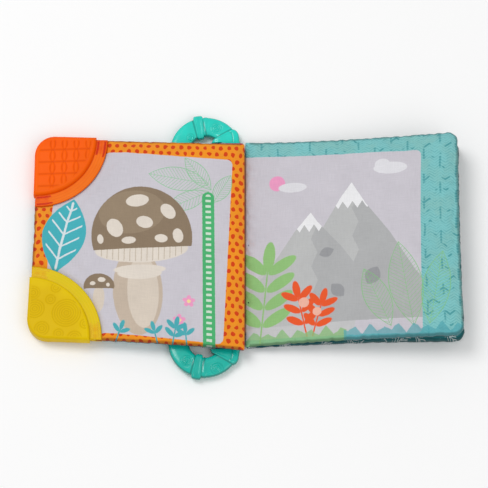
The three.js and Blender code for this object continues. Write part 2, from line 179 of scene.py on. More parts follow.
class Nodes:
    """The node tree of one material."""

    EXTRAS = {
        "sheen": "Sheen Weight",
        "sheen_spread": "Sheen Roughness",
        "specular": "Specular IOR Level",
    }

    def __init__(self, name: str) -> None:
        """Makes an empty material.

        Args:
            name: The material's name.
        """
        self.material = bpy.data.materials.new(name)
        self.material.use_nodes = True
        self.tree = self.material.node_tree
        self.tree.nodes.clear()

    def add(self, kind: str, settings: dict | None = None, values: dict | None = None) -> bpy.types.Node:
        """Adds a node.

        Args:
            kind: The node's type.
            settings: Its settings, set before its sockets.
            values: Values or links of its sockets, by name or place.

        Returns:
            The node.
        """
        node = self.tree.nodes.new(kind)
        for key, setting in (settings or {}).items():
            if key == "stops":
                while len(node.color_ramp.elements) < len(setting):
                    node.color_ramp.elements.new(1.0)
                for element, (place, colour) in zip(node.color_ramp.elements, setting):
                    element.position, element.color = place, colour
            else:
                setattr(node, key, setting)
        for key, value in (values or {}).items():
            self.feed(node.inputs[key], value)
        return node

    def feed(self, socket: Socket, value: Input) -> None:
        """Links or sets one input socket.

        Args:
            socket: The socket.
            value: A link, or a number, vector or hex colour.
        """
        if isinstance(value, Value):
            value = value.socket
        if isinstance(value, Socket):
            self.tree.links.new(value, socket)
        else:
            socket.default_value = linear(value) if isinstance(value, str) else value

    def math(self, operation: str, *values: Input) -> Value:
        """Adds a Math node.

        Args:
            operation: Its operation.
            values: Its numbers.

        Returns:
            The result.
        """
        node = self.add("ShaderNodeMath", {"operation": operation}, dict(enumerate(values)))
        return Value(self, node.outputs[0])

    def vector(self, operation: str, *values: Input) -> bpy.types.Node:
        """Adds a Vector Math node and returns it."""
        return self.add("ShaderNodeVectorMath", {"operation": operation}, dict(enumerate(values)))

    def mix(self, share: Input, first: Input, second: Input, blend: str = "MIX") -> Socket:
        """Mixes two colours.

        Args:
            share: How much of the second colour shows.
            first: The colour below.
            second: The colour above.
            blend: The way of mixing.

        Returns:
            The mixed colour.
        """
        settings = {"data_type": "RGBA", "blend_type": blend}
        return self.add("ShaderNodeMix", settings, {0: share, 6: first, 7: second}).outputs[2]

    def page(self) -> Socket:
        """The piece's own page coordinates, in millimetres."""
        print_map = self.add("ShaderNodeUVMap", {"uv_map": PRINT_MAP}).outputs[0]
        return self.mapped(print_map, size=(MM / PAGE_UNIT,) * 3)

    def place(self) -> Socket:
        """The place in the object's own space."""
        return self.add("ShaderNodeTexCoord").outputs["Object"]

    def attribute(self, name: str) -> Value:
        """A number that the mesh carries."""
        return Value(self, self.add("ShaderNodeAttribute", {"attribute_name": name}).outputs["Fac"])

    def mapped(
        self, at: Input, centre: tuple = (0, 0, 0), turn: float = 0.0, size: tuple = (1, 1, 1)
    ) -> Socket:
        """Coordinates measured from a centre, along turned axes, in a given size.

        Args:
            at: The coordinates.
            centre: Where the result is zero.
            turn: The axes' turn in degrees.
            size: The length that the result counts as one along each axis.

        Returns:
            The new coordinates.
        """
        values = {0: at, 1: centre, 2: (0, 0, math.radians(turn)), 3: size}
        return self.add("ShaderNodeMapping", {"vector_type": "TEXTURE"}, values).outputs[0]

    def wandered(self, at: Input, scale: float, reach: float) -> Socket:
        """Coordinates that wander in x and y, by up to half the reach either way.

        Args:
            at: The coordinates.
            scale: The scale of the noise that moves them.
            reach: How far apart the two ends of their wandering lie.

        Returns:
            The new coordinates.
        """
        drift = self.add("ShaderNodeTexNoise", values={"Vector": at, "Scale": scale, "Detail": 1.0})
        back = (-reach / 2, -reach / 2, 0.0)
        shift = self.vector("MULTIPLY_ADD", drift.outputs["Color"], (reach, reach, 0.0), back)
        return self.vector("ADD", at, shift.outputs[0]).outputs[0]

    def shaded(self, colour: Input, shade: Value) -> Socket:
        """A colour made lighter or darker by a number."""
        grey = self.add("ShaderNodeCombineColor", values={0: shade, 1: shade, 2: shade}).outputs[0]
        return self.mix(1.0, colour, grey, "MULTIPLY")

    def parts(self, at: Input) -> tuple[Value, Value, Value]:
        """The three numbers of a vector."""
        node = self.add("ShaderNodeSeparateXYZ", values={0: at})
        return Value(self, node.outputs[0]), Value(self, node.outputs[1]), Value(self, node.outputs[2])

    def length(self, at: Input) -> Value:
        """The length of a vector."""
        return Value(self, self.vector("LENGTH", at).outputs["Value"])

    def noise(self, at: Input, scale: float, detail: float = 2.0, roughness: float = 0.5) -> Value:
        """Soft noise between 0 and 1."""
        values = {"Vector": at, "Scale": scale, "Detail": detail, "Roughness": roughness}
        return Value(self, self.add("ShaderNodeTexNoise", values=values).outputs[0])

    def cells(self, at: Input, scale: float, randomness: float) -> Value:
        """The distance to the nearest of many scattered points.

        Args:
            at: The coordinates.
            scale: How many points lie along a unit.
            randomness: How irregular they are, up to one.

        Returns:
            The distance.
        """
        values = {"Vector": at, "Scale": scale, "Randomness": randomness}
        node = self.add("ShaderNodeTexVoronoi", {"voronoi_dimensions": "2D"}, values)
        return Value(self, node.outputs["Distance"])

    def bump(self, height: Input, distance: float, strength: float = 1.0) -> Socket:
        """Turns a height into a normal.

        Args:
            height: The height, from 0 to 1.
            distance: What a height of one measures, in metres.
            strength: How strongly it shows.

        Returns:
            The normal.
        """
        values = {"Height": height, "Distance": distance, "Strength": strength}
        return self.add("ShaderNodeBump", values=values).outputs[0]

    def finish(self, colour: Input, roughness: Input, normal: Input = None, **others: Input) -> Material:
        """Ends the tree in a Principled BSDF.

        Args:
            colour: Its base colour.
            roughness: Its roughness.
            normal: Its bumped normal, if it has one.
            others: Values of the sockets in EXTRAS.

        Returns:
            The material.
        """
        values = {"Base Color": colour, "Roughness": roughness}
        values |= {self.EXTRAS[name]: value for name, value in others.items()}
        if normal is not None:
            values["Normal"] = normal
        shader = self.add("ShaderNodeBsdfPrincipled", values=values)
        self.add("ShaderNodeOutputMaterial", values={0: shader.outputs[0]})
        return self.material


class Drawing:
    """A printed page: shapes laid over one another in page millimetres, with slightly wavering edges."""

    SOFT = 0.15
    LINE = 0.3

    def __init__(self, nodes: Nodes, ground: Input) -> None:
        """Starts a page.

        Args:
            nodes: The material's nodes.
            ground: The colour that the shapes lie on.
        """
        self.nodes = nodes
        self.at = nodes.wandered(nodes.page(), 0.6, 0.5)
        self.x, self.y, _ = nodes.parts(self.at)
        self.ink = ground

    def lay(self, mask: Value, colour: Input, strength: float = 1.0) -> None:
        """Prints a colour where a mask is one."""
        share = mask if strength == 1.0 else mask * strength
        self.ink = self.nodes.mix(share, self.ink, colour)

    def local(self, centre: Pair, size: Pair, turn: float = 0.0) -> Socket:
        """Coordinates of one shape: zero at its centre, one at its ends."""
        return self.nodes.mapped(self.at, (*centre, 0), turn, (*size, 1.0))

    def oval(self, centre: Pair, size: Pair, turn: float = 0.0) -> Value:
        """The mask of an oval with the half sizes given."""
        soft = 0.25 / min(size)
        return self.nodes.length(self.local(centre, size, turn)).ramp(1 + soft, 1 - soft)

    def union(self, masks: Iterable[Value]) -> Value:
        """The mask of the places that lie in any of some shapes."""
        return reduce(Value.most, masks)

    def ovals(self, *shapes: tuple) -> Value:
        """The mask of several ovals, each given by its centre, half sizes and turn."""
        return self.union(self.oval(*shape) for shape in shapes)

    def leaf(self, centre: Pair, size: Pair, turn: float = 0.0) -> tuple[Value, Value, Value]:
        """A pointed leaf.

        Args:
            centre: Its middle.
            size: Half its length and half its width.
            turn: Its turn in degrees.

        Returns:
            How deep a place lies inside it in half widths, and its local coordinates.
        """
        x, y, _ = self.nodes.parts(self.local(centre, size, turn))
        return 1 - x * x - abs(y), x, y

    def solid_leaf(self, centre: Pair, size: Pair, turn: float = 0.0) -> Value:
        """The mask of a filled pointed leaf.

        Args:
            centre: Its middle.
            size: Half its length and half its width.
            turn: Its turn in degrees.

        Returns:
            The mask.
        """
        inside, _, _ = self.leaf(centre, size, turn)
        soft = 0.25 / size[1]
        return inside.ramp(-soft, soft)

    def lined_leaf(self, centre: Pair, size: Pair, turn: float, veins: int) -> Value:
        """The mask of a leaf that is drawn in lines: its outline, midrib and slanting veins.

        Args:
            centre: Its middle.
            size: Half its length and half its width.
            turn: Its turn in degrees.
            veins: How many veins each half has.

        Returns:
            The mask.
        """
        inside, x, y = self.leaf(centre, size, turn)
        half = self.LINE / size[1]
        vein_half = self.LINE * veins / size[0]
        outline = abs(inside - half).ramp(half * 1.2, half * 0.5)
        midrib = abs(y).ramp(half * 0.8, half * 0.3)
        slant = (x - abs(y) * (0.8 * size[1] / size[0])).wave(2 / veins)
        vein = slant.ramp(vein_half * 0.9, vein_half * 0.35)
        return outline.most(midrib.most(vein) * inside.ramp(0.0, half))

    def bar(self, start: Pair, end: Pair, half: float) -> Value:
        """The mask of a straight round-ended stroke.

        Args:
            start: One end.
            end: The other end.
            half: Half its width.

        Returns:
            The mask.
        """
        dx, dy = end[0] - start[0], end[1] - start[1]
        middle = ((start[0] + end[0]) / 2, (start[1] + end[1]) / 2)
        x, y, _ = self.nodes.parts(self.local(middle, (1, 1), math.degrees(math.atan2(dy, dx))))
        past = (abs(x) - math.hypot(dx, dy) / 2 + half).most(0.0)
        far = self.nodes.math("SQRT", past * past + y * y)
        return far.ramp(half + self.SOFT, half - self.SOFT)

    def above(self, level: Value | float, value: Value) -> Value:
        """The mask of the places where a value is over a level."""
        return (value - level).ramp(-self.SOFT, self.SOFT)

    def panel(self, low: Pair, high: Pair, lean: Pair, radius: float) -> Value:
        """The mask of a round-cornered panel whose sides lean.

        Args:
            low: Its lower left corner.
            high: Its upper right corner.
            lean: How far its upright sides move sideways for each step up, and its level sides up for each
                step to the right.
            radius: Its corner radius.

        Returns:
            The mask.
        """
        middle = [(a + b) / 2 for a, b in zip(low, high)]
        half = [(b - a) / 2 for a, b in zip(low, high)]
        x = abs(self.x - middle[0] - (self.y - middle[1]) * lean[0]) - (half[0] - radius)
        y = abs(self.y - middle[1] - (self.x - middle[0]) * lean[1]) - (half[1] - radius)
        far = self.nodes.math("SQRT", x.most(0.0) * x.most(0.0) + y.most(0.0) * y.most(0.0))
        return far.ramp(radius + 0.2, radius - 0.2)


@dataclass(frozen=True)
class Weave:
    """The finish that all the printed cloths share."""

    thread: float = 0.42
    depth: float = 0.05
    roughness: float = 0.86
    # The last three fields set the painted shade along the seam: full this close to the edge, gone this far
    # in, and how much it darkens.
    seam_shade_from: float = 0.9
    seam_shade_to: float = 2.6
    seam_shade_depth: float = 0.5

    def dress(self, nodes: Nodes, colour: Input) -> Material:
        """Puts threads, faint slubs and painted shade along the seam on a printed colour.

        Args:
            nodes: The material's nodes.
            colour: The printed colour.

        Returns:
            The finished material.
        """
        at = nodes.page()
        x, y, _ = nodes.parts(at)
        warp = nodes.math("SINE", x * (math.tau / self.thread))
        weft = nodes.math("SINE", y * (math.tau / self.thread))
        cross = warp * weft
        slub = nodes.noise(nodes.mapped(at, size=(9.0, 0.7, 1.0)), 1.0, 3.0)
        slub_up = nodes.noise(nodes.mapped(at, size=(0.7, 9.0, 1.0)), 1.0, 3.0)
        cloud = nodes.noise(at, 0.035, 3.0)
        # Painted shade: the cloth darkens near its seam.
        seam_shade = nodes.attribute(EDGE).ramp(self.seam_shade_to, self.seam_shade_from)
        shade = (slub + slub_up - 1.0) * 0.16 + (cloud - 0.5) * 0.16 + cross * 0.03 + 0.97
        shade = shade * (1 - seam_shade * self.seam_shade_depth)
        height = cross * 0.5 + (slub + slub_up) * 0.7
        normal = nodes.bump(height, self.depth * MM, 0.7)
        rough = (cloud - 0.5) * 0.12 + self.roughness
        tone = nodes.shaded(colour, shade)
        return nodes.finish(tone, rough, normal, sheen=0.12, sheen_spread=0.5, specular=0.25)


def ripple(x: Numbers, y: Numbers, length: float, seed: int, count: int = 14) -> Numbers:
    """Smooth irregular waves.

    Args:
        x: First coordinate.
        y: Second coordinate.
        length: The usual length of a wave.
        seed: Picks the pattern.
        count: How many waves are added.

    Returns:
        Heights of about -1 to 1.
    """
    pick = np.random.default_rng(seed)
    total = np.zeros_like(x, dtype=float)
    for _ in range(count):
        turn, phase = pick.uniform(0, math.tau, 2)
        rate = math.tau / (length * pick.uniform(0.7, 1.6))
        total += np.sin((x * math.cos(turn) + y * math.sin(turn)) * rate + phase)
    return total / math.sqrt(count)


def smooth_step(value: Numbers, low: float, high: float) -> Numbers:
    """A smooth rise from 0 at low to 1 at high."""
    share = np.clip((value - low) / (high - low), 0, 1)
    return share * share * (3 - 2 * share)


def quarter_round(distance: Numbers, reach: float) -> Numbers:
    """The height share of a round edge at a distance in from it."""
    share = np.clip(distance / reach, 0, 1)
    return np.sqrt(np.clip(1 - (1 - share) ** 2, 0, 1))


def new_piece(name: str, points: Numbers, faces: list, material: Material) -> Piece:
    """Makes a mesh piece.

    Args:
        name: The piece's name.
        points: Its points in millimetres.
        faces: Its faces.
        material: Its finish.

    Returns:
        The piece, shaded smooth.
    """
    mesh = bpy.data.meshes.new(name)
    mesh.from_pydata((np.asarray(points, float) * MM).tolist(), [], [list(map(int, f)) for f in faces])
    mesh.materials.append(material)
    mesh.shade_smooth()
    piece = bpy.data.objects.new(name, mesh)
    bpy.context.scene.collection.objects.link(piece)
    return piece


def clean_up(piece: Piece) -> Piece:
    """Merges doubles and turns the faces outwards.

    Args:
        piece: The piece to mend.

    Returns:
        The same piece.
    """
    mesh = bmesh.new()
    mesh.from_mesh(piece.data)
    bmesh.ops.remove_doubles(mesh, verts=mesh.verts, dist=MERGE * MM)
    bmesh.ops.dissolve_degenerate(mesh, edges=mesh.edges, dist=1e-7)
    bmesh.ops.recalc_face_normals(mesh, faces=mesh.faces)
    mesh.to_mesh(piece.data)
    mesh.free()
    return piece


def filled(outline: Numbers, inner: Numbers) -> tuple[Numbers, list]:
    """Fills an outline with triangles through given inner points.

    Args:
        outline: The closed outline, anticlockwise.
        inner: Points inside it.

    Returns:
        The points, and the triangles.
    """
    everything = np.vstack([outline, inner])
    loop = list(range(len(outline)))
    result = delaunay_2d_cdt([Vector(p) for p in everything], [], [loop], 1, 1e-6)
    return np.array([tuple(v) for v in result[0]]), [tuple(f) for f in result[2]]


def honeycomb(low: Pair, high: Pair, step: float) -> Numbers:
    """Evenly spread points over a box.

    Args:
        low: The box's lower left corner.
        high: Its upper right corner.
        step: The distance between neighbours.

    Returns:
        The points.
    """
    rows = np.arange(low[1], high[1], step * math.sqrt(3) / 2)
    columns = np.arange(low[0], high[0], step)
    grid = [(x + (i % 2) * step / 2, y) for i, y in enumerate(rows) for x in columns]
    return np.array(grid)


def outside_of(points: Numbers, line: Numbers) -> Numbers:
    """Distances from points to a closed line's corner points, which lie close together.

    Args:
        points: The points.
        line: The line's own points.

    Returns:
        The distances.
    """
    best = np.full(len(points), 1e9)
    for part in np.array_split(line, max(1, len(line) // 64)):
        gap = points[:, None, :] - part[None, :, :]
        best = np.minimum(best, np.sqrt((gap**2).sum(2)).min(1))
    return best


class Side(Enum):
    """Which way a leaf lies from the spine."""

    COVER = -1
    BLOCK = 1


@dataclass(frozen=True)
class Corner:
    """One corner of a leaf: rounded, or cut back round a teether."""

    radius: float = 1.5
    cut: float = 0.0


SQUARE = Corner()
ROUNDED = Corner(9.0)
CUT_BACK = Corner(0.0, 55.0)
TRAVELS = ((1, 0), (0, 1), (-1, 0), (0, -1))


@dataclass
class Leaf:
    """A padded leaf: along runs from the spine to the fore edge, across runs along the spine.

    Its name is its body's name too. The sizes after origin bend its outline the way the photo shows: at
    the fore edge by fore_skew and taper, at the spine by tuck, rise and roll. The cloth swells from
    slack_from on, in full from slack_to, and cloth_share is how much of its rectangle it fills. The
    lower cloth keeps the share UNDER_SWELL of its swelling, because it lies on something.
    """

    RISE_LENGTH = 45.0
    TUCK_LENGTH = 6.0
    NEAREST = 1.5
    OUTER_RINGS = (0.12, 0.35, 0.7, 1.1, 1.6, 2.3, 3.1, 4.0, 5.0, 6.1, 7.3, 8.6, 10.2, 12.0)
    OUTER_STEP = 2.4
    UNDER_STEP = 3.6
    INNER_RINGS = (1.1, 2.3, 4.0, 6.0, 9.0, 13.0)
    INNER_STEP = 7.0
    PILLOW_STEP = 3.4
    PILLOW_FRAMES = 20
    MOST_SWELL = 1.6
    UNDER_SWELL = 0.25
    FABRIC = {
        "quality": 6,
        "mass": 0.2,
        "tension_stiffness": 12,
        "compression_stiffness": 12,
        "shear_stiffness": 6,
        "bending_stiffness": 0.08,
        "use_pressure": True,
        "uniform_pressure_force": 4.0,
        "shrink_min": -0.012,
    }

    name: str
    side: Side
    width: float
    height: float
    corners: tuple[Corner, Corner, Corner, Corner]
    draw_in: float
    skew: float
    origin: float
    fore_skew: float = 0.0
    taper: float = 0.0
    shift: float = 0.0
    rests_flat: bool = False
    tuck: float = 0.0
    rise: float = 0.0
    puckers: float = 0.5
    pucker_length: float = 8.5
    pinch_length: float = 6.5
    hollow_length: float = 46.0
    hollow_depth: float = 0.22
    roll: float = 0.0
    slack_from: float = 6.0
    slack_to: float = 105.0
    cloth_share: float = 0.99
    seed: int = 1
    swell: dict[int, Numbers] = field(default_factory=dict)

    def fill(self, along: Numbers) -> Numbers:
        """The padding's half thickness inside the leaf."""
        raise NotImplementedError

    def middle(self, along: Numbers) -> Numbers:
        """The height of the seam."""
        raise NotImplementedError

    def placed(self, along: Numbers, across: Numbers) -> tuple[Numbers, Numbers]:
        """Turns leaf coordinates into the book's own.

        Args:
            along: Distances from the spine.
            across: Distances along the spine.

        Returns:
            The book's x and y.
        """
        share = along / self.width
        up = 2 * across / self.height
        side_bow = self.draw_in * (1 - (2 * share - 1) ** 2)
        fore_bow = self.draw_in * (1 - up**2)
        x = along + share * (self.fore_skew * up / 2 - fore_bow)
        y = across - up * (side_bow + share * self.taper / 2) + self.skew * share + self.shift
        y = y + self.rise * np.maximum(up, 0) * np.exp(-np.abs(along) / self.RISE_LENGTH)
        x = x - self.tuck * np.exp(-((along / self.TUCK_LENGTH) ** 2))
        return self.origin + self.side.value * x, self.side.value * y

    def outline(self, inset: float, spacing: float = 1.6) -> Numbers:
        """The leaf's closed outline at an inset, with the same number of points at each.

        Args:
            inset: The distance in from the edge.
            spacing: The usual distance between points at the edge.

        Returns:
            The outline in leaf coordinates.
        """
        half = self.height / 2
        places = np.array([[0, -half], [self.width, -half], [self.width, half], [0, half]])
        arcs = []
        for i, (corner, at) in enumerate(zip(self.corners, places)):
            into, out_of = np.array(TRAVELS[(i + 3) % 4], float), np.array(TRAVELS[i], float)
            count = max(6, round(math.pi / 2 * max(corner.cut, corner.radius) / spacing))
            if corner.cut:
                reach = (corner.cut + inset) * np.array([CORNER_SHARE, 1.0])
                start, end = (math.asin(inset / reach[0 if way[0] else 1]) for way in (out_of, into))
                turn = np.linspace(start, math.pi / 2 - end, count + 1)[:, None]
                arcs.append(at + reach * (out_of * np.sin(turn) - into * np.cos(turn)))
            else:
                radius = max(corner.radius - inset, self.NEAREST)
                turn = np.linspace(0, math.pi / 2, count + 1)[:, None]
                base = at + (out_of - into) * (inset + radius)
                arcs.append(base + radius * (into * np.sin(turn) - out_of * np.cos(turn)))
        lengths = [self.width, self.height, self.width, self.height]
        points = []
        for i, arc in enumerate(arcs):
            cuts = self.corners[i].cut + self.corners[(i + 1) % 4].cut
            count = round((lengths[i] - cuts) / spacing)
            start, end = arc[-1], arcs[(i + 1) % 4][0]
            share = np.linspace(0, 1, count + 1)[1:-1, None]
            points += [arc, start + (end - start) * share]
        return np.vstack(points)

    def depth(self, along: Numbers, across: Numbers) -> Numbers:
        """How far places lie inside the leaf's edge.

        Args:
            along: Distances from the spine.
            across: Distances along the spine.

        Returns:
            The distances, under zero outside.
        """
        half = self.height / 2
        radius = max(c.radius for c in self.corners)
        inside = np.minimum.reduce([along, self.width - along, half - np.abs(across)])
        from_side = np.maximum(radius - (half - np.abs(across)), 0)
        from_fore = np.maximum(radius - (self.width - along), 0)
        rounded = radius - np.hypot(from_side, from_fore)
        inside = np.where((from_side > 0) & (from_fore > 0), np.minimum(inside, rounded), inside)
        return np.minimum(inside, self.clear_of_cuts(along, across, CUT_BACK.cut))

    def clear_of_cuts(self, along: Numbers, across: Numbers, reach: float) -> Numbers:
        """How far places lie outside a circle round each cut-back corner.

        Args:
            along: Distances from the spine.
            across: Distances along the spine.
            reach: The circle's radius.

        Returns:
            The distances, very large on a leaf without such corners.
        """
        clear = np.full(np.shape(along), 1e3)
        for i, corner in enumerate(self.corners):
            if corner.cut:
                side = -self.height / 2 if i == 1 else self.height / 2
                far = np.hypot((along - self.width) / CORNER_SHARE, across - side)
                clear = np.minimum(clear, far - reach)
        return clear

    def padding(self, along: Numbers, across: Numbers) -> Numbers:
        """The padding's half thickness at places, nothing at the edges.

        Args:
            along: Distances from the spine.
            across: Distances along the spine.

        Returns:
            The half thicknesses.
        """
        inside = np.minimum(self.depth(along, across), self.clear_of_cuts(along, across, CLOTH_SHOULDER))
        rolled = quarter_round(along, self.roll) if self.roll else 1.0
        return self.fill(along) * quarter_round(inside, ROUNDING) * rolled

    def ruffle(self, along: Numbers, across: Numbers, face: int) -> Numbers:
        """Puckers that run in from the seam, and soft hollows inside.

        Args:
            along: Distances from the spine.
            across: Distances along the spine.
            face: One for the upper face and minus one for the lower.

        Returns:
            Heights over the plain face.
        """
        inside = self.depth(along, across)
        free = smooth_step(self.clear_of_cuts(along, across, CLOTH_SHOULDER), 0.5, 7.0)
        near = np.exp(-np.maximum(inside - 2.5, 0) / 4.5) * smooth_step(inside, 0.6, 2.5)
        gathers = ripple(along, across, self.pucker_length, self.seed * 10 + face) - 0.9
        hollows = ripple(along, across, self.hollow_length, self.seed * 10 + 3 + face, 8)
        soft = smooth_step(inside, 6.0, 22.0)
        puckered = self.puckers * 0.55 * np.minimum(gathers, 0.6) * near
        return free * (puckered + self.hollow_depth * hollows * soft)

    def pinched(self, along: Numbers, across: Numbers, inside: Numbers) -> tuple[Numbers, Numbers]:
        """Draws places near the seam in towards the middle, a little and unevenly.

        Args:
            along: Distances from the spine.
            across: Distances along the spine.
            inside: How far the places lie inside the edge.

        Returns:
            The new distances.
        """
        pinch = 0.45 * self.puckers * (ripple(along, across, self.pinch_length, self.seed * 10 + 7) + 0.6)
        clear = smooth_step(self.clear_of_cuts(along, across, CUT_BACK.cut), 2.0, 9.0)
        pinch = pinch * np.exp(-inside / 3.0) * clear * smooth_step(along, 2.0, 14.0)
        step = np.maximum(pinch, 0.0)
        right, up = self.width / 2 - along, -across
        sideways = np.abs(right) > np.abs(up)
        return (
            along + np.where(sideways, np.sign(right) * step, 0),
            across + np.where(sideways, 0, np.sign(up) * step),
        )

    def swollen(self, along: Numbers, across: Numbers, face: int) -> Numbers:
        """How far the simulated cloth moved at places, in three directions.

        Args:
            along: Distances from the spine.
            across: Distances along the spine.
            face: One for the upper face and minus one for the lower.

        Returns:
            The moves.
        """
        if face not in self.swell:
            return np.zeros((*np.shape(along), 3))
        grid = self.swell[face]
        u = np.clip(along / self.width, 0, 1) * (grid.shape[0] - 1)
        v = np.clip(across / self.height + 0.5, 0, 1) * (grid.shape[1] - 1)
        return bicubic(grid, u, v)

    def surface(self, along: Numbers, across: Numbers, face: int, under: float = 0.0) -> Numbers:
        """Points of a face of the leaf.

        Args:
            along: Distances from the spine.
            across: Distances along the spine.
            face: One for the upper face and minus one for the lower.
            under: How deep under the face.

        Returns:
            Points in the book's frame.
        """
        inside = self.depth(along, across)
        moved = self.swollen(along, across, face)
        rim = SEAM_GAP + CLOTH * quarter_round(inside, SEAM_ROUND)
        height = rim + self.padding(along, across) + self.ruffle(along, across, face) + moved[..., 2] * face
        height = np.maximum(height - under, SEAM_GAP)
        if self.rests_flat and face < 0:
            height = np.minimum(height, self.middle(along) - under)
        along, across = self.pinched(along, across, inside)
        x, y = self.placed(along, across)
        return np.stack([x + moved[..., 0], y + moved[..., 1], self.middle(along) + face * height], -1)

    def page_map(self, along: Numbers, across: Numbers) -> Numbers:
        """Page coordinates in decimetres: right along the page and up it."""
        return np.stack([along, across], -1) * self.side.value * MM / PAGE_UNIT

    def cloth(self, name: str, face: int, material: Material, step: float) -> Piece:
        """One cloth of the leaf, as a closed shell that ends in the seam.

        Args:
            name: The piece's name.
            face: One for the upper cloth and minus one for the lower.
            material: Its finish.
            step: The distance between the points inside.

        Returns:
            The piece.
        """
        outer = self.layer(face, 0.0, self.OUTER_RINGS, step)
        inner = self.layer(face, CLOTH, self.INNER_RINGS, self.INNER_STEP)
        points = np.vstack([outer[0], inner[0]])
        faces = [*outer[1], *(tuple(i + len(outer[0]) for i in f) for f in inner[1])]
        piece = new_piece(name, points, faces, material)
        flat = np.vstack([outer[2], inner[2]])
        self.carry(piece, flat)
        return clean_up(piece)

    def layer(
        self, face: int, under: float, insets: tuple[float, ...], step: float
    ) -> tuple[Numbers, list, Numbers]:
        """Triangles over the whole leaf.

        Args:
            face: One for the upper face and minus one for the lower.
            under: How deep under the face.
            insets: Where the rings of points run.
            step: The distance between the points inside.

        Returns:
            Points in the book's frame, triangles, and the points' leaf coordinates.
        """
        rim = self.outline(0.0)
        rings = [self.outline(i) for i in insets]
        half = self.height / 2
        spread = honeycomb((0, -half), (self.width, half), step)
        spread = spread[self.depth(spread[:, 0], spread[:, 1]) > insets[-1] + step * 0.6]
        flat, faces = filled(rim, np.vstack([*rings, spread]))
        return self.surface(flat[:, 0], flat[:, 1], face, under), faces, flat

    def carry(self, piece: Piece, flat: Numbers) -> None:
        """Gives a piece its page coordinates and its distance from the edge, which gets no painted seam
        shade at the spine.

        Args:
            piece: The piece.
            flat: The leaf coordinates of its points.
        """
        mesh = piece.data
        spots = np.empty(len(mesh.loops), np.int64)
        mesh.loops.foreach_get("vertex_index", spots)
        page = mesh.uv_layers.new(name=PRINT_MAP)
        page.data.foreach_set("uv", self.page_map(flat[:, 0], flat[:, 1])[spots].ravel())
        edge = mesh.attributes.new(EDGE, "FLOAT", "POINT")
        # Points at the spine count as far from the edge, so they get no painted seam shade.
        seam_shade = np.where(flat[:, 0] < UNSHADED_DEPTH, UNSHADED_DEPTH, self.depth(flat[:, 0], flat[:, 1]))
        edge.data.foreach_set("value", seam_shade)

    def inflate(self) -> None:
        """Blows the sewn leaf up with Blender's cloth and keeps how far each place moved."""
        columns, rows = (round(size / self.PILLOW_STEP) for size in (self.width, self.height))
        along, across = np.meshgrid(
            np.linspace(0, self.width, columns + 1),
            np.linspace(-self.height / 2, self.height / 2, rows + 1),
            indexing="ij",
        )
        sides = {face: self.surface(along, across, face) for face in (1, -1)}
        count = (columns + 1) * (rows + 1)
        index = np.arange(count).reshape(columns + 1, rows + 1)
        rim = np.zeros((columns + 1, rows + 1), bool)
        rim[[0, -1], :] = rim[:, [0, -1]] = True
        lower = np.where(rim, index, index + count)
        faces = []
        for i in range(columns):
            for j in range(rows):
                faces.append([index[i, j], index[i + 1, j], index[i + 1, j + 1], index[i, j + 1]])
                faces.append([lower[i, j], lower[i, j + 1], lower[i + 1, j + 1], lower[i + 1, j]])
        points = np.vstack([sides[1].reshape(-1, 3), sides[-1].reshape(-1, 3)])
        pillow = new_piece("pillow", points, faces, bpy.data.materials.new("unprinted"))
        near_seam = self.depth(along, across) < 2.0
        near_cut = self.clear_of_cuts(along, across, CLOTH_SHOULDER) < 3.0
        held = (rim | near_seam | near_cut).ravel()
        group = pillow.vertex_groups.new(name="sewn")
        group.add([int(i) for i in np.flatnonzero(np.concatenate([held, held]))], 1.0, "REPLACE")
        cloth = pillow.modifiers.new("cloth", "CLOTH")
        cloth.settings.vertex_group_mass = "sewn"
        for name, setting in self.FABRIC.items():
            setattr(cloth.settings, name, setting)
        cloth.settings.effector_weights.gravity = 0.0
        cloth.point_cache.frame_start, cloth.point_cache.frame_end = 1, self.PILLOW_FRAMES
        for number in range(1, self.PILLOW_FRAMES + 1):
            bpy.context.scene.frame_set(number)
        result = pillow.evaluated_get(bpy.context.evaluated_depsgraph_get()).to_mesh()
        found = np.empty(len(result.vertices) * 3)
        result.vertices.foreach_get("co", found)
        moved = found.reshape(-1, 3) / MM - points
        bpy.context.scene.frame_set(1)
        bpy.data.objects.remove(pillow)
        far = np.linalg.norm(moved, axis=1, keepdims=True)
        moved = moved * np.minimum(1, self.MOST_SWELL / np.maximum(far, 1e-9))
        room = smooth_step(along, self.slack_from, self.slack_to).ravel()[:, None]
        moved = moved * np.vstack([room, room])
        LOG.info("%s swelled by %.2f mm at most", self.name, far.max())
        for n, face in enumerate((1, -1)):
            grid = moved[n * count : (n + 1) * count].reshape(columns + 1, rows + 1, 3)
            grid[rim] = 0
            self.swell[face] = grid * (1.0 if face > 0 else self.UNDER_SWELL)


def bicubic(grid: Numbers, u: Numbers, v: Numbers) -> Numbers:
    """Smoothly reads a grid between its points.

    Args:
        grid: Values by column and row.
        u: Columns, which may lie between two.
        v: Rows, which may lie between two.

    Returns:
        The values there.
    """

    def weights(t: Numbers) -> list[Numbers]:
        """The four shares of neighbouring points.

        Args:
            t: How far past the second point.

        Returns:
            The shares.
        """
        return [
            (-t + 2 * t**2 - t**3) / 2,
            (2 - 5 * t**2 + 3 * t**3) / 2,
            (t + 4 * t**2 - 3 * t**3) / 2,
            (-(t**2) + t**3) / 2,
        ]

    i, j = np.floor(u).astype(int), np.floor(v).astype(int)
    across, up = weights(u - i), weights(v - j)
    total = np.zeros((*np.shape(u), grid.shape[2]))
    for a in range(4):
        for b in range(4):
            column = np.clip(i + a - 1, 0, grid.shape[0] - 1)
            row = np.clip(j + b - 1, 0, grid.shape[1] - 1)
            total += grid[column, row] * (across[a] * up[b])[..., None]
    return total


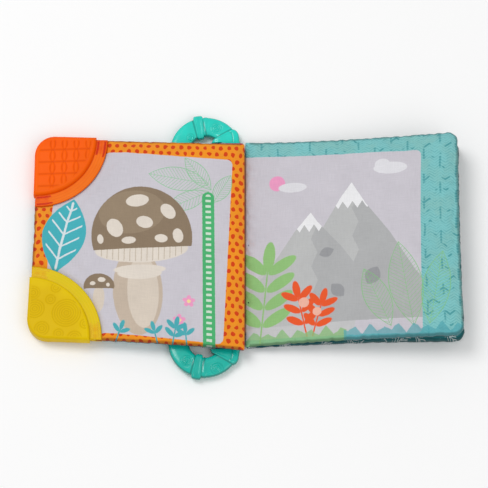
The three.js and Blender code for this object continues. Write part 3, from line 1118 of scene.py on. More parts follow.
class FrontCover(Leaf):
    """The front cover, which rests on the ring links at the spine and on the teethers at its fore edge."""

    PADDING = 3.25
    SPINE_HEIGHT = 13.4
    FALL = 7.9

    def fill(self, along: Numbers) -> Numbers:
        """The same padding all over."""
        return np.full(np.shape(along), self.PADDING)

    def middle(self, along: Numbers) -> Numbers:
        """Falls away from the spine in a shallow arch."""
        return self.SPINE_HEIGHT - self.FALL * (along / self.width) ** 2


class BlockLeaf(Leaf):
    """A leaf of the right-hand block, whose padding thickens away from the spine."""

    RATE = LEAF_RISE / LEAF_WIDTH / (3 - FLAT_SHARE)

    def fill(self, along: Numbers) -> Numbers:
        """Thin at the spine, full further out."""
        return np.minimum(LEAF_FILL, SPINE_FILL + self.RATE * np.asarray(along))


class InnerLeaf(BlockLeaf):
    """The upper leaf of the block, which slopes up from the spine."""

    def middle(self, along: Numbers) -> Numbers:
        """Rises to the fore edge."""
        return SEAM_HALF + SPINE_FILL + SEAM_STEP + LEAF_RISE * along / LEAF_WIDTH


class BackCover(BlockLeaf):
    """The back cover, flat on the table."""

    def middle(self, along: Numbers) -> Numbers:
        """Lies as high as the padding under it."""
        return SEAM_HALF + SPINE_FILL + (1 - FLAT_SHARE) * (self.fill(along) - SPINE_FILL)


COVER = FrontCover(
    name="front_cover",
    side=Side.COVER,
    width=165,
    height=170,
    corners=(SQUARE, CUT_BACK, CUT_BACK, SQUARE),
    draw_in=0.8,
    skew=-10.2,
    origin=-0.5,
    fore_skew=2.5,
    taper=4.5,
    shift=4,
    tuck=-0.5,
    roll=8.0,
    cloth_share=0.86,
    puckers=0.55,
    seed=3,
)
INNER = InnerLeaf(
    name="inner_leaf",
    side=Side.BLOCK,
    width=165,
    height=168,
    corners=(SQUARE, ROUNDED, ROUNDED, SQUARE),
    draw_in=1.2,
    skew=3,
    origin=0.6,
    tuck=1.05,
    rise=1.7,
    roll=6.5,
    puckers=0.9,
    seed=5,
)
BACK = BackCover(
    name="back_cover",
    side=Side.BLOCK,
    width=167,
    height=167,
    corners=(SQUARE, ROUNDED, ROUNDED, SQUARE),
    draw_in=1.2,
    skew=4.5,
    origin=0.6,
    rests_flat=True,
    puckers=0.6,
    seed=8,
)


class Ink:
    """The printing inks that are used more than once, or that need a name."""

    PANEL = "CFCBD3"
    CREAM = "E6DCD0"
    PALE_STALK = "DCCFC0"
    BROWN = "8E7B65"
    PINK = "F2A0C8"
    YELLOW_HEART = "F7E3A0"
    OUTLINE_GREEN = "86C992"
    STEM_GREEN = "4DB573"
    TEAL_LEAF = "46B3BE"
    TEAL_SPROUT = "4CAFB8"
    ZIGZAG_ACCENT = "3F959B"


def ahead(at: Pair, turn: float, far: float) -> Pair:
    """The place that lies a distance from another, in a direction given in degrees."""
    return at[0] + math.cos(math.radians(turn)) * far, at[1] + math.sin(math.radians(turn)) * far


class PagePrint:
    """The printed pages, each a generic scene in the colours of the real one, in page millimetres."""

    LEAF_LEAN = 52
    STALK_HALF = 0.55
    PETALS = (18, 90, 162, 234, 306)

    def sprig(self, page: Drawing, foot: Pair, height: float, turn: float, leaf: Pair, pairs: int) -> Value:
        """A stem with pairs of oval leaves.

        Args:
            page: The page.
            foot: The foot of the stem.
            height: The stem's length.
            turn: The stem's direction in degrees.
            leaf: Half the length and width of a leaf.
            pairs: How many pairs of leaves.

        Returns:
            Its mask.
        """
        tip = ahead(foot, turn, height)
        masks = [page.bar(foot, tip, self.STALK_HALF)]
        masks.append(page.oval(ahead(tip, turn, leaf[0] * 0.8), leaf, turn))
        for n in range(pairs):
            at = ahead(foot, turn, height * (n + 1.0) / (pairs + 0.35))
            for way in (turn + self.LEAF_LEAN, turn - self.LEAF_LEAN):
                masks.append(page.oval(ahead(at, way, leaf[0] * 1.1), leaf, way))
        return page.union(masks)

    def dotted(self, nodes: Nodes, ground: str, ink: str) -> Socket:
        """A ground with staggered rows of uneven oval dots.

        Args:
            nodes: The material's nodes.
            ground: The ground's colour.
            ink: The dots' colour.

        Returns:
            The printed colour.
        """
        at = nodes.page()
        x, y, _ = nodes.parts(nodes.wandered(at, 0.17, 2.6))
        pitch, rows = 6.3, 11.4
        near = None
        for along, up in ((0.0, 0.0), (pitch / 2, rows / 2)):
            dx, dy = (x + along).wave(pitch) * 3.15, (y + up).wave(rows) * 5.0
            far = nodes.math("SQRT", dx * dx + dy * dy)
            near = far if near is None else near.least(far)
        wobble = nodes.noise(at, 0.4, 1.0) * 0.7
        patch = nodes.mix(nodes.noise(at, 0.12, 2.0).ramp(0.35, 0.75) * 0.6, ground, "E9962A")
        return nodes.mix((near + wobble).ramp(2.15, 1.8), patch, ink)

    def chevron(self, nodes: Nodes, ground: str, ink: str) -> Socket:
        """A ground with columns of fine nested zigzags in a darker tone of it, and some bolder marks.

        Args:
            nodes: The material's nodes.
            ground: The ground's colour.
            ink: The lines' colour.

        Returns:
            The printed colour.
        """
        at = nodes.page()
        x, y, _ = nodes.parts(at)
        uneven = nodes.noise(at, 0.16, 2.0)
        x = x + uneven * 1.6
        zig = y + x.wave(8.4) * 3.0 + uneven * 1.4
        line_pitch, dash_pitch = 2.3, 12.6
        lines = zig.wave(line_pitch).ramp(0.5, 0.12)
        patchy = nodes.noise(nodes.mapped(at, size=(7.0, 3.2, 1.0)), 1.0, 2.0).ramp(0.38, 0.66)
        chosen = nodes.noise(nodes.mapped(at, size=(8.0, 9.0, 1.0)), 1.0, 1.0).ramp(0.53, 0.62)
        accent = zig.wave(4 * line_pitch).ramp(0.27, 0.14) * chosen
        column = nodes.math("FLOOR", x * (1 / dash_pitch) + 0.5) * 8.0
        dashes = x.wave(dash_pitch).ramp(0.16, 0.07) * (y + column + uneven * 9).wave(21.0).ramp(0.52, 0.62)
        dashes = dashes * y.wave(line_pitch).ramp(0.0, 0.6, 0.5, 1.0)
        blotch = nodes.mix(nodes.noise(at, 0.07, 3.0).ramp(0.35, 0.7) * 0.6, ground, "8AC0B9")
        pattern = nodes.mix(lines * (patchy * 0.5 + 0.2), blotch, ink)
        return nodes.mix(accent.most(dashes) * 0.75, pattern, Ink.ZIGZAG_ACCENT)

    def dashed_stem(self, page: Drawing) -> None:
        """A tall straight stem with a row of pale dashes.

        Args:
            page: The page.
        """
        page.lay(page.bar((-26.9, -100), (-29, 42), 4.7), Ink.STEM_GREEN)
        dashes = page.y.wave(4.6).ramp(0.52, 0.62) * page.bar((-26.9, -98), (-29, 40), 2.1)
        page.lay(dashes, "DDEBDD", 0.9)

    def mushrooms(self, page: Drawing) -> None:
        """A large spotted mushroom and a small one.

        Args:
            page: The page.
        """
        middle = -80
        cap = page.oval((middle, 2), (39, 42)) * page.above(-8.0, page.y - (page.x - middle) * 0.1)
        page.lay(page.oval((-82, -44), (19, 36), 3), "C9B8A6")
        page.lay(page.oval((-78, -44), (12, 30), 3), Ink.PALE_STALK)
        page.lay(page.oval((middle, -9), (36, 11), 5.7), Ink.CREAM)
        gills = (page.x - middle).wave(4.4).ramp(0.2, 0.08) * page.oval((middle, -10), (34, 9), 5.7)
        page.lay(gills, "B7A690", 0.7)
        page.lay(cap, Ink.BROWN)
        page.lay(page.oval((-88, 22), (26, 18), 12) * cap, "9A8770")
        spots = page.ovals(
            ((-101, 8), (6, 8), 25),
            ((-84, 32), (9, 5), 12),
            ((-60, 24), (5, 7), 40),
            ((-78, 14), (6.5, 5), -10),
            ((-52, 4), (4, 6), 10),
            ((-65, 1), (5, 3.4), 0),
            ((-90, -2), (5.5, 3), 8),
            ((-112, -2), (2.4, 4), 10),
        )
        page.lay(spots * cap, Ink.CREAM)
        page.lay(page.ovals(((-81, -26), (20, 4), 5), ((-81, -29), (17, 5), 5)), Ink.CREAM)
        page.lay(page.oval((-112, -51), (4.5, 11)), Ink.PALE_STALK)
        page.lay(page.oval((-112, -41), (12, 10)) * page.above(-43.0, page.y), Ink.BROWN)
        small = (((-117, -39), (2.2, 1.6)), ((-110, -36), (3, 2)), ((-105, -40), (1.4, 1.6)))
        page.lay(page.ovals(*small), Ink.CREAM)

    def blossoms(self, page: Drawing, *centres: Pair) -> None:
        """Small blossoms of five petals.

        Args:
            page: The page.
            centres: The middle of each.
        """
        for centre in centres:
            petals = ((ahead(centre, turn, 2.7), (2.3, 1.7), turn) for turn in self.PETALS)
            page.lay(page.ovals(*petals), Ink.PINK)
            page.lay(page.oval(centre, (1.5, 1.5)), Ink.YELLOW_HEART)

    def broad_leaf(self, page: Drawing) -> None:
        """A broad leaf with pale veins.

        Args:
            page: The page.
        """
        place = ((-140.5, 1), (32, 17), 78)
        page.lay(page.solid_leaf(*place), Ink.TEAL_LEAF)
        inside, along, out = page.leaf(*place)
        slant = (along - abs(out) * 0.45).wave(0.33).ramp(0.2, 0.12) * (1 - abs(out)).ramp(0.25, 0.3)
        veins = abs(out).ramp(0.07, 0.04).most(slant)
        page.lay(veins * inside.ramp(0.12, 0.18), "DCE6EA")

    def cover(self) -> Material:
        """The left-hand page: dotted border, mushrooms, a dashed stem and leaves.

        Returns:
            Its material.
        """
        nodes = Nodes("cover_print")
        page = Drawing(nodes, self.dotted(nodes, "F8961A", "D8400A"))
        page.lay(page.panel((-151.8, -80.3), (-13.2, 72.5), (0.045, -0.038), 4.5), Ink.PANEL)
        leaves = (
            ((-52, 52), (24, 10), 172, 18),
            ((-37, 57), (17, 7), 128, 14),
            ((-18, 45), (14, 6.5), 60, 14),
            ((-45, 34), (19, 7.5), 207, 14),
        )
        page.lay(page.union(page.lined_leaf(*leaf) for leaf in leaves), Ink.OUTLINE_GREEN, 0.95)
        self.dashed_stem(page)
        self.mushrooms(page)
        self.blossoms(page, (-50, -66), (-43, -50), (-120, -66))
        self.broad_leaf(page)
        sprouts = [self.sprig(page, (-55, -86), 15, 80, (4.6, 1.9), 2)]
        for x, turn in ((-66, 105), (-44, 96), (-98, 70)):
            sprouts.append(self.sprig(page, (x, -86), 11, turn, (4.2, 1.7), 1))
        page.lay(page.union(sprouts), Ink.TEAL_SPROUT)
        return Weave().dress(nodes, page.ink)

    def mountains(self, page: Drawing, panel: Value) -> None:
        """Two snowy mountains inside the panel, each given by its peak, slope and depth of snow.

        Args:
            page: The page.
            panel: The panel's mask.
        """
        for peak, slope, cut in (((82, 46), 1.55, 17.0), ((50, 24), 1.35, 12.0)):
            level = page.y + abs(page.x - peak[0]) * slope + page.x.wave(37.0) * 3.0
            body = (level - peak[1]).ramp(0.2, -0.2) * page.above(-70.0, page.y) * panel
            page.lay(body, "BFC0C0")
            shade = body * (page.x - peak[0] - page.y.wave(23.0) * 5.0).ramp(-0.2, 0.2)
            page.lay(shade, "A9AAAC", 0.55)
            snow = body * (page.y - peak[1] + cut + page.x.wave(7.5) * 6.0).ramp(-0.2, 0.2)
            page.lay(snow, "F1F1F3")

    def grass(self, page: Drawing) -> None:
        """An uneven edge of grass along the foot of the page, green and then teal.

        Args:
            page: The page.
        """
        blades = page.x.wave(11.0) * 5.0 + page.x.wave(17.3) * 3.5
        page.lay((blades - page.y - 80.5).ramp(-0.2, 0.2) * page.x.ramp(76.0, 75.6), "8DBE7C", 0.82)
        page.lay((blades - page.y - 81.5).ramp(-0.2, 0.2) * page.x.ramp(73.6, 74.0), "55ACB6", 0.75)

    def leaf(self) -> Material:
        """The right-hand page: zigzag border, mountains, sprigs and grass.

        Returns:
            Its material.
        """
        nodes = Nodes("leaf_print")
        page = Drawing(nodes, self.chevron(nodes, "82C9CA", "56A7AC"))
        panel = page.panel((-9.0, -80.5), (134.6, 69.8), (0.016, -0.0225), 4.5)
        page.lay(panel, Ink.PANEL)
        page.lay(page.oval((38, -62), (46, 44), 8) * panel, "C8C8C9")
        self.mountains(page, panel)
        page.lay(page.oval((24, 48), (6.2, 6.2)), Ink.PINK)
        page.lay(page.ovals(((112, 55), (13, 5)), ((106, 58), (6, 5)), ((36, 44), (11, 4))), "E4E3E8")
        stones = (((97, -34), (8, 6), 60), ((70, -44), (7, 5), -50), ((62, -12), (6, 4), 20))
        page.lay(page.union(page.solid_leaf(*stone) for stone in stones), "9C9DA0")
        leaves = (
            ((122, -42), (35, 13), 98, 22),
            ((100, -52), (26, 10), 112, 18),
            ((145, -46), (30, 11), 78, 20),
        )
        page.lay(page.union(page.lined_leaf(*leaf) for leaf in leaves), "86C680", 0.95)
        page.lay(self.sprig(page, (10, -84), 62, 84, (12.5, 4.6), 4), "94C47C")
        twigs = (((46, -80), 34, 101, (7.2, 2.9), 3), ((50, -80), 28, 74, (6.6, 2.7), 3))
        page.lay(page.union(self.sprig(page, *twig) for twig in twigs), "EE5A2A")
        page.lay(page.ovals(((44, -52), (4, 4)), ((54, -60), (3.4, 3.4))), "F6B9A4")
        self.grass(page)
        return Weave().dress(nodes, page.ink)

    def ferns(self, name: str, ground: str, ink: str) -> Material:
        """A ground with scattered small fronds, for the pages that lie turned away.

        Args:
            name: The material's name.
            ground: The ground's colour.
            ink: The fronds' colour.

        Returns:
            The material.
        """
        nodes = Nodes(name)
        page = Drawing(nodes, ground)
        for turn, shift, pitch in ((28, 0.0, 27.0), (-40, 11.0, 33.0)):
            x, y, _ = nodes.parts(nodes.mapped(page.at, (shift, shift * 0.7, 0), turn))
            lane = abs(y.wave(pitch) - 0.5) * pitch
            along = x.wave(46.0)
            width = 5.4 * along.ramp(0.25, 0.6)
            stem = lane.ramp(0.55, 0.3) * along.ramp(0.22, 0.26)
            barbs = (x - lane * 0.9).wave(3.4).ramp(0.36, 0.22) * (width - lane).ramp(-0.2, 0.2)
            page.lay(stem.most(barbs), ink, 0.9)
        return Weave().dress(nodes, page.ink)


class MouldFinish:
    """Finishes of the soft and hard mouldings."""

    def soft(self, name: str, colour: str, deep: str, through: str, grain: str, depth: float) -> Material:
        """Satin rubber, a little see-through beside its flange, with painted shade in its hollows and fine
        skin.

        Args:
            name: The material's name.
            colour: Its colour.
            deep: Its colour in hollows, as painted shade.
            through: The colour beside the flange, where light passes through.
            grain: The colour of faint cloudy streaks.
            depth: How strongly the painted shade darkens the hollows.

        Returns:
            The material.
        """
        nodes = Nodes(name)
        at = nodes.place()
        cloud = nodes.noise(at, 34.0, 3.0)
        relief, reach = nodes.attribute(EDGE), nodes.attribute(REACH)
        tone = nodes.mix(cloud.ramp(0.35, 0.75) * 0.45, colour, grain)
        glow = reach.ramp(36.0, 47.0) * nodes.noise(at, 90.0, 2.0).ramp(0.3, 0.6, 0.55, 1.0)
        tone = nodes.mix(glow * 0.6, tone, through)
        # Painted shade: darker where the relief sinks into grooves and channels.
        tone = nodes.mix(relief.ramp(0.86, 0.38) * depth, tone, deep)
        normal = nodes.bump(nodes.noise(at, 2600.0, 2.0), 0.00003, 0.4)
        return nodes.finish(tone, (cloud - 0.5) * 0.14 + 0.46, normal, specular=0.09)

    def flange(self, name: str, colour: str, edge: str, printed: tuple[str, str], thread: str) -> Material:
        """The thin see-through band over the cover: the print's border and panel tint it.

        Args:
            name: The material's name.
            colour: Its own colour.
            edge: The colour of its rims and fine ridges.
            printed: How the dotted border and its dots look through it.
            thread: The colour over the panel.

        Returns:
            The material.
        """
        nodes = Nodes(name)
        at = nodes.place()
        reach, border = nodes.attribute(REACH), nodes.attribute(BORDER)
        cloud = nodes.noise(at, 120.0, 3.0)
        tone = nodes.mix(cloud.ramp(0.35, 0.7) * 0.5, colour, thread)
        over = (border + nodes.noise(at, 300.0, 2.0) * 4.0).ramp(16.0, 11.5)
        spots = nodes.cells(nodes.mapped(at, size=(0.0058, 0.0052, 1.0)), 1.0, 0.35).ramp(0.42, 0.28)
        under = nodes.mix(spots * 0.6, printed[0], printed[1])
        tone = nodes.mix(over * 0.6, tone, under)
        ridge = reach.wave(2.3).ramp(0.25, 0.05) * 0.35
        rims = reach.ramp(51.2, 50.2).most(reach.ramp(58.4, 59.2))
        tone = nodes.mix(ridge.most(rims * 0.6), tone, edge)
        normal = nodes.bump(reach.wave(2.3) * 0.6 + cloud * 0.2, 0.0002, 0.6)
        return nodes.finish(tone, (cloud - 0.5) * 0.1 + 0.4, normal, specular=0.12)

    def gloss(self, name: str, colour: str, deep: str) -> Material:
        """Glossy translucent plastic, a little cloudy and finely scratched, with painted shade from the
        number each part carries.

        Args:
            name: The material's name.
            colour: Its colour.
            deep: Its darker colour, in cloudy patches and as painted shade.

        Returns:
            The material.
        """
        nodes = Nodes(name)
        at = nodes.place()
        cloud = nodes.noise(at, 60.0, 3.0)
        relief = nodes.attribute(EDGE)
        tone = nodes.mix(cloud.ramp(0.3, 0.8) * 0.3, colour, deep)
        # Painted shade: darker in creases, on the ring's sides and between the drops' ridges.
        tone = nodes.mix(relief.ramp(0.95, 0.1) * 0.85, tone, deep)
        scratch = nodes.noise(nodes.mapped(at, turn=25, size=(0.012, 0.0004, 0.012)), 1.0, 2.0)
        rough = scratch.ramp(0.4, 0.8, 0.16, 0.3)
        return nodes.finish(tone, rough, nodes.bump(cloud, 0.0001, 0.3), specular=0.5)

    def ribbon(self, name: str, colour: str, deep: str) -> Material:
        """Ribbed woven ribbon with a selvedge.

        Args:
            name: The material's name.
            colour: Its colour.
            deep: Its colour in hollows.

        Returns:
            The material.
        """
        nodes = Nodes(name)
        x, y, z = nodes.parts(nodes.place())
        rib = nodes.math("SINE", (x + z) * (math.tau / 0.0007))
        weft = nodes.math("SINE", y * (math.tau / 0.0005))
        cloud = nodes.noise(nodes.place(), 220.0, 3.0)
        tone = nodes.mix(cloud.ramp(0.3, 0.7) * 0.6 + rib * 0.1, colour, deep)
        normal = nodes.bump(rib * 0.5 + weft * 0.3, 0.00008, 0.8)
        return nodes.finish(tone, cloud * 0.2 + 0.6, normal, sheen=0.1)

    def plain_cloth(self, name: str, colour: str, deep: str) -> Material:
        """Unprinted plain weave.

        Args:
            name: The material's name.
            colour: Its colour.
            deep: Its colour in hollows.

        Returns:
            The material.
        """
        nodes = Nodes(name)
        at = nodes.place()
        x, y, z = nodes.parts(at)
        rate = math.tau / 0.00045
        cross = nodes.math("SINE", (x + z) * rate) * nodes.math("SINE", y * rate)
        cloud = nodes.noise(at, 60.0, 3.0)
        tone = nodes.mix(cloud.ramp(0.35, 0.7) * 0.7, colour, deep)
        return nodes.finish(tone, cloud * 0.1 + 0.82, nodes.bump(cross, 0.00005, 0.7))

    def film(self) -> Material:
        """Thin crinkled film.

        Returns:
            The material.
        """
        nodes = Nodes("crinkle_film")
        at = nodes.place()
        folds = nodes.noise(at, 90.0, 5.0, 0.7)
        tone = nodes.mix(folds.ramp(0.4, 0.6), "D9DFE2", "EEF2F4")
        return nodes.finish(tone, folds * 0.2 + 0.15, nodes.bump(folds, 0.0006))

    def wadding(self) -> Material:
        """White polyester wadding.

        Returns:
            The material.
        """
        nodes = Nodes("wadding")
        at = nodes.place()
        tufts = nodes.noise(at, 240.0, 6.0, 0.75)
        tone = nodes.mix(tufts.ramp(0.3, 0.7), "E9E6DF", "F8F7F3")
        return nodes.finish(tone, tufts * 0.08 + 0.9, nodes.bump(tufts, 0.0009))

    def thread(self, name: str, colour: str, deep: str) -> Material:
        """Twisted sewing thread.

        Args:
            name: The material's name.
            colour: Its colour.
            deep: Its colour in hollows.

        Returns:
            The material.
        """
        nodes = Nodes(name)
        x, y, z = nodes.parts(nodes.place())
        twist = nodes.math("SINE", (x + y * 0.7 + z * 0.4) * (math.tau / 0.0005))
        tone = nodes.mix(twist * 0.5 + 0.5, colour, deep)
        return nodes.finish(tone, twist * 0.05 + 0.55, nodes.bump(twist, 0.00006, 0.8))


def slab(faces: list, top: Numbers, bottom: Numbers) -> tuple[Numbers, list]:
    """Closes two layers that share one triangulation.

    Args:
        faces: The triangles, the same for both layers.
        top: The upper points.
        bottom: The lower points.

    Returns:
        The points and faces of the closed body.
    """
    count = len(top)
    edges = {(f[i], f[(i + 1) % len(f)]) for f in faces for i in range(len(f))}
    rim = [(a, b) for a, b in edges if (b, a) not in edges]
    lower = [tuple(i + count for i in reversed(f)) for f in faces]
    walls = [(b, a, a + count, b + count) for a, b in rim]
    return np.vstack([top, bottom]), [*faces, *lower, *walls]


@dataclass
class LeafFilling:
    """What lies between a leaf's two cloths: crinkle film over wadding."""

    leaf: Leaf
    inset: float = FILM_INSET
    film_under: Pair = (1.1, 1.4)
    crinkle: float = 0.22
    crease_height: float = 1.6
    padding_under: Pair = (1.75, 1.15)
    lump: float = 0.35
    thinnest: float = 0.12

    def spread(self, step: float) -> tuple[Numbers, list]:
        """Points and triangles over the filling's area.

        Args:
            step: The distance between the points inside.

        Returns:
            Points in leaf coordinates, and triangles.
        """
        rim = self.leaf.outline(self.inset, 2.4)
        half = self.leaf.height / 2
        inner = honeycomb((0, -half), (self.leaf.width, half), step)
        clear = self.leaf.depth(inner[:, 0], inner[:, 1]) > self.inset + step * 0.7
        cuts = self.leaf.clear_of_cuts(inner[:, 0], inner[:, 1], CUT_BACK.cut) > self.inset + step * 0.7
        return filled(rim, inner[clear & cuts])

    def film(self, material: Material) -> Piece:
        """The crumpled film.

        Args:
            material: Its finish.

        Returns:
            The piece.
        """
        flat, faces = self.spread(2.0)
        u, v = flat[:, 0], flat[:, 1]
        seed = self.leaf.seed * 7
        creases = np.abs(ripple(u, v, 9.0, seed)) + 0.6 * np.abs(ripple(u, v, 5.0, seed + 1))
        inside = smooth_step(self.leaf.depth(u, v), self.inset + 1.0, self.inset + 5.0)
        lift = np.zeros((len(flat), 3))
        lift[:, 2] = self.crinkle * (np.clip(creases, 0, self.crease_height) - self.crease_height) * inside
        top = self.leaf.surface(u, v, 1, self.film_under[0]) + lift
        bottom = self.leaf.surface(u, v, 1, self.film_under[1]) + lift
        points, closed = slab(faces, top, bottom)
        return new_piece(f"{self.leaf.name}_film", points, closed, material)

    def padding(self, material: Material) -> Piece:
        """The lumpy wadding.

        Args:
            material: Its finish.

        Returns:
            The piece.
        """
        flat, faces = self.spread(2.8)
        u, v = flat[:, 0], flat[:, 1]
        top = self.leaf.surface(u, v, 1, self.padding_under[0])
        bottom = self.leaf.surface(u, v, -1, self.padding_under[1])
        inside = smooth_step(self.leaf.depth(u, v), self.inset + 1.0, self.inset + 6.0)
        top[:, 2] -= self.lump / 2 * (1 + ripple(u, v, 16.0, self.leaf.seed + 40)) * inside
        middle = (top[:, 2] + bottom[:, 2]) / 2
        half = np.maximum((top[:, 2] - bottom[:, 2]) / 2, self.thinnest)
        top[:, 2], bottom[:, 2] = middle + half, middle - half
        points, closed = slab(faces, top, bottom)
        return new_piece(f"{self.leaf.name}_wadding", points, closed, material)


@dataclass
class Teether:
    """A moulded corner: a thick relief body and a two-lipped flange that holds the cover."""

    name: str
    node: str
    side: int
    relief: Field
    reach: float = 50.0
    thickness: float = 11.0
    corner: float = 17.0
    lip: float = 1.2
    rounding: float = 2.5
    rim: float = 4.2
    foot_groove: float = 2.9
    foot_depth: float = 0.3
    flange_in: float = 48.4
    flange_out: float = 59.5
    flange_thick: float = 4.8
    slot_from: float = 54.2
    slot_thick: float = 2.6
    mouth: float = 2.5
    back: float = 0.3
    stations: int = 110
    tack_turns: tuple[Pair, Pair] = ((1.6, 15.0), (75.0, 88.4))
    tack_reaches: Pair = (51.9, 57.6)

    RINGS = (0.08, 0.25, 0.5, 0.85, 1.3, 1.8, 2.4, 3.1)
    EDGE_STEP = 0.7
    GRID_FROM = 3.4
    GRID_STEP = 0.45

    def place(self, u: Numbers, v: Numbers, z: Numbers) -> Numbers:
        """Points in the book's frame from distances in from the fore edge and the side.

        Args:
            u: Distances in from the fore edge.
            v: Distances in from the side.
            z: Heights over the seam.

        Returns:
            The points.
        """
        along = COVER.width - u * CORNER_SHARE
        x, y = COVER.placed(along, self.side * (COVER.height / 2 - v))
        return np.stack([x, y, z + COVER.middle(along)], -1)

    def mark(self, piece: Piece, u: Numbers, v: Numbers, cut: Numbers) -> None:
        """Gives a piece its depth of relief and its distances from the corner and the cover's edges."""
        for name, values in ((EDGE, 1 + cut), (REACH, np.hypot(u, v)), (BORDER, np.minimum(u, v))):
            piece.data.attributes.new(name, "FLOAT", "POINT").data.foreach_set("value", values)

    def outline(self) -> Numbers:
        """The body's closed outline.

        Returns:
            Points as distances in from the corner.
        """
        step = self.EDGE_STEP
        start = math.asin(-self.lip / self.reach)
        round_at = self.corner - self.lip
        arc = np.linspace(start, math.pi / 2 - start, int(self.reach * 1.6 / step))
        far = np.stack([np.cos(arc), np.sin(arc)], -1) * self.reach
        turn = np.linspace(math.pi, 1.5 * math.pi, int(self.corner * 1.6 / step))
        near = np.stack([np.cos(turn), np.sin(turn)], -1) * self.corner + round_at
        up = np.linspace(far[-1], near[0], int(np.linalg.norm(far[-1] - near[0]) / step))[1:-1]
        back = np.linspace(near[-1], far[0], int(np.linalg.norm(far[0] - near[-1]) / step))[1:-1]
        return np.vstack([far, up, near, back])

    def body(self, material: Material) -> Piece:
        """The thick moulded corner.

        Args:
            material: Its finish.

        Returns:
            The piece.
        """
        line = self.outline()
        travel = np.roll(line, -1, 0) - np.roll(line, 1, 0)
        travel /= np.linalg.norm(travel, axis=1)[:, None]
        inward = np.stack([-travel[:, 1], travel[:, 0]], -1)
        rings = []
        for inset in self.RINGS:
            ring = line + inward * inset
            rings.append(ring[outside_of(ring, line) > inset * 0.9])
        grid = honeycomb((-2, -2), (self.reach, self.reach), self.GRID_STEP)
        u, v = grid.T
        inner = (np.hypot(u, v) < self.reach - self.GRID_FROM) & (grid.min(1) > 2.4 - self.lip)
        round_at = self.corner - self.lip
        in_corner = (u < round_at) & (v < round_at)
        past = np.hypot(u - round_at, v - round_at) > self.corner - self.GRID_FROM
        flat, faces = filled(line, np.vstack([*rings, grid[inner & ~(in_corner & past)]]))
        u, v = flat.T
        inside = outside_of(flat, line)
        half = self.thickness / 2 - self.rounding * (1 - quarter_round(inside, self.rounding))
        plain = np.zeros(len(flat))
        spots = self.place(u, v, plain)
        shown = smooth_step(inside, self.rim - 1.6, self.rim + 0.4)
        foot = np.abs(self.reach - self.foot_groove - np.hypot(u, v))
        groove = self.foot_depth * np.exp(-((foot / 0.4) ** 2)) * (inside > 1.2)
        cut = self.relief(spots[:, 0], spots[:, 1]) * shown - groove
        points, closed = slab(faces, self.place(u, v, half + cut), self.place(u, v, -half))
        piece = new_piece(f"{self.name}_body", points, closed, material)
        self.mark(piece, np.tile(u, 2), np.tile(v, 2), np.concatenate([cut, plain]))
        return piece

    def profile(self) -> Numbers:
        """The flange's cross-section: distance from the corner, and height.

        Returns:
            Its closed outline.
        """
        half, slot = self.flange_thick / 2, self.slot_thick / 2
        turn = np.linspace(-math.pi / 2, math.pi / 2, 7)
        thick = (half - slot) / 2
        lip = np.stack([self.flange_out - thick + thick * np.cos(turn), thick * np.sin(turn)], -1)
        middle = (half + slot) / 2
        low = lip + (0, -middle)
        high = lip + (0, middle)
        ways = np.linspace(self.flange_in, self.flange_out - thick, 9)[:-1]
        under = np.stack([ways, np.full(8, -half)], -1)
        over = np.stack([ways[::-1], np.full(8, half)], -1)
        mouth, root = self.flange_out - self.mouth, self.slot_from
        inner = np.array([[mouth, -slot], [root, -slot], [root, slot], [mouth, slot]])
        return np.vstack([under, low, inner, high, over])

    def flange(self, material: Material) -> Piece:
        """The slotted band round the body.

        Args:
            material: Its finish.

        Returns:
            The piece.
        """
        shape = self.profile()
        stations, spots = [], []
        for share in np.linspace(0, 1, self.stations):
            start = np.arcsin(self.back / shape[:, 0])
            turn = start + (math.pi / 2 - 2 * start) * share
            spots.append(shape[:, :1] * np.stack([np.cos(turn), np.sin(turn)], -1))
            stations.append(self.place(*spots[-1].T, shape[:, 1]))
        points, faces = loft(stations, False)
        piece = new_piece(f"{self.name}_flange", points, faces, material)
        self.mark(piece, *np.vstack(spots).T, np.zeros(len(points)))
        return clean_up(piece)

    def tacks(self) -> list[Numbers]:
        """Two short seams at each end of the flange.

        Returns:
            Points along each seam.
        """
        seams = []
        for start, end in self.tack_turns:
            for reach in self.tack_reaches:
                turn = np.radians(np.linspace(start, end, 16))
                height = np.full(16, self.flange_thick / 2)
                seams.append(self.place(reach * np.cos(turn), reach * np.sin(turn), height))
        return seams


@dataclass(frozen=True)
class Waffle:
    """Pinched upright ribs between level grooves, in book millimetres."""

    first_rib: float = -151.0
    rib_pitch: float = 9.3
    ribs: int = 4
    first_groove: float = 77.4
    groove_pitch: float = 10.15
    groove: float = 0.42
    base: float = -0.18
    channel_depth: float = 0.34
    channel_half: float = 0.75
    waist: float = 0.3
    belly: float = 1.5
    rib_height: float = 0.26

    def __call__(self, x: Numbers, y: Numbers) -> Numbers:
        """The relief on the face.

        Args:
            x: First coordinate.
            y: Second coordinate.

        Returns:
            The heights over the face.
        """
        rows = np.abs(np.sin((y - self.first_groove) / self.groove_pitch * math.pi))
        step = (y - self.first_groove + self.groove_pitch / 2) % self.groove_pitch - self.groove_pitch / 2
        height = self.base - self.channel_depth * np.exp(-((step / self.channel_half) ** 2))
        for n in range(self.ribs):
            away = np.abs(x - self.first_rib - n * self.rib_pitch)
            half = self.waist + self.belly * rows**0.7
            height = height - self.groove * np.exp(-(((away - half) / 0.6) ** 2)) * (0.35 + 0.65 * rows)
            height = height + self.rib_height * (1 - smooth_step(away, half - 0.7, half)) * rows
        return np.clip(height, -1.0, 0.1)


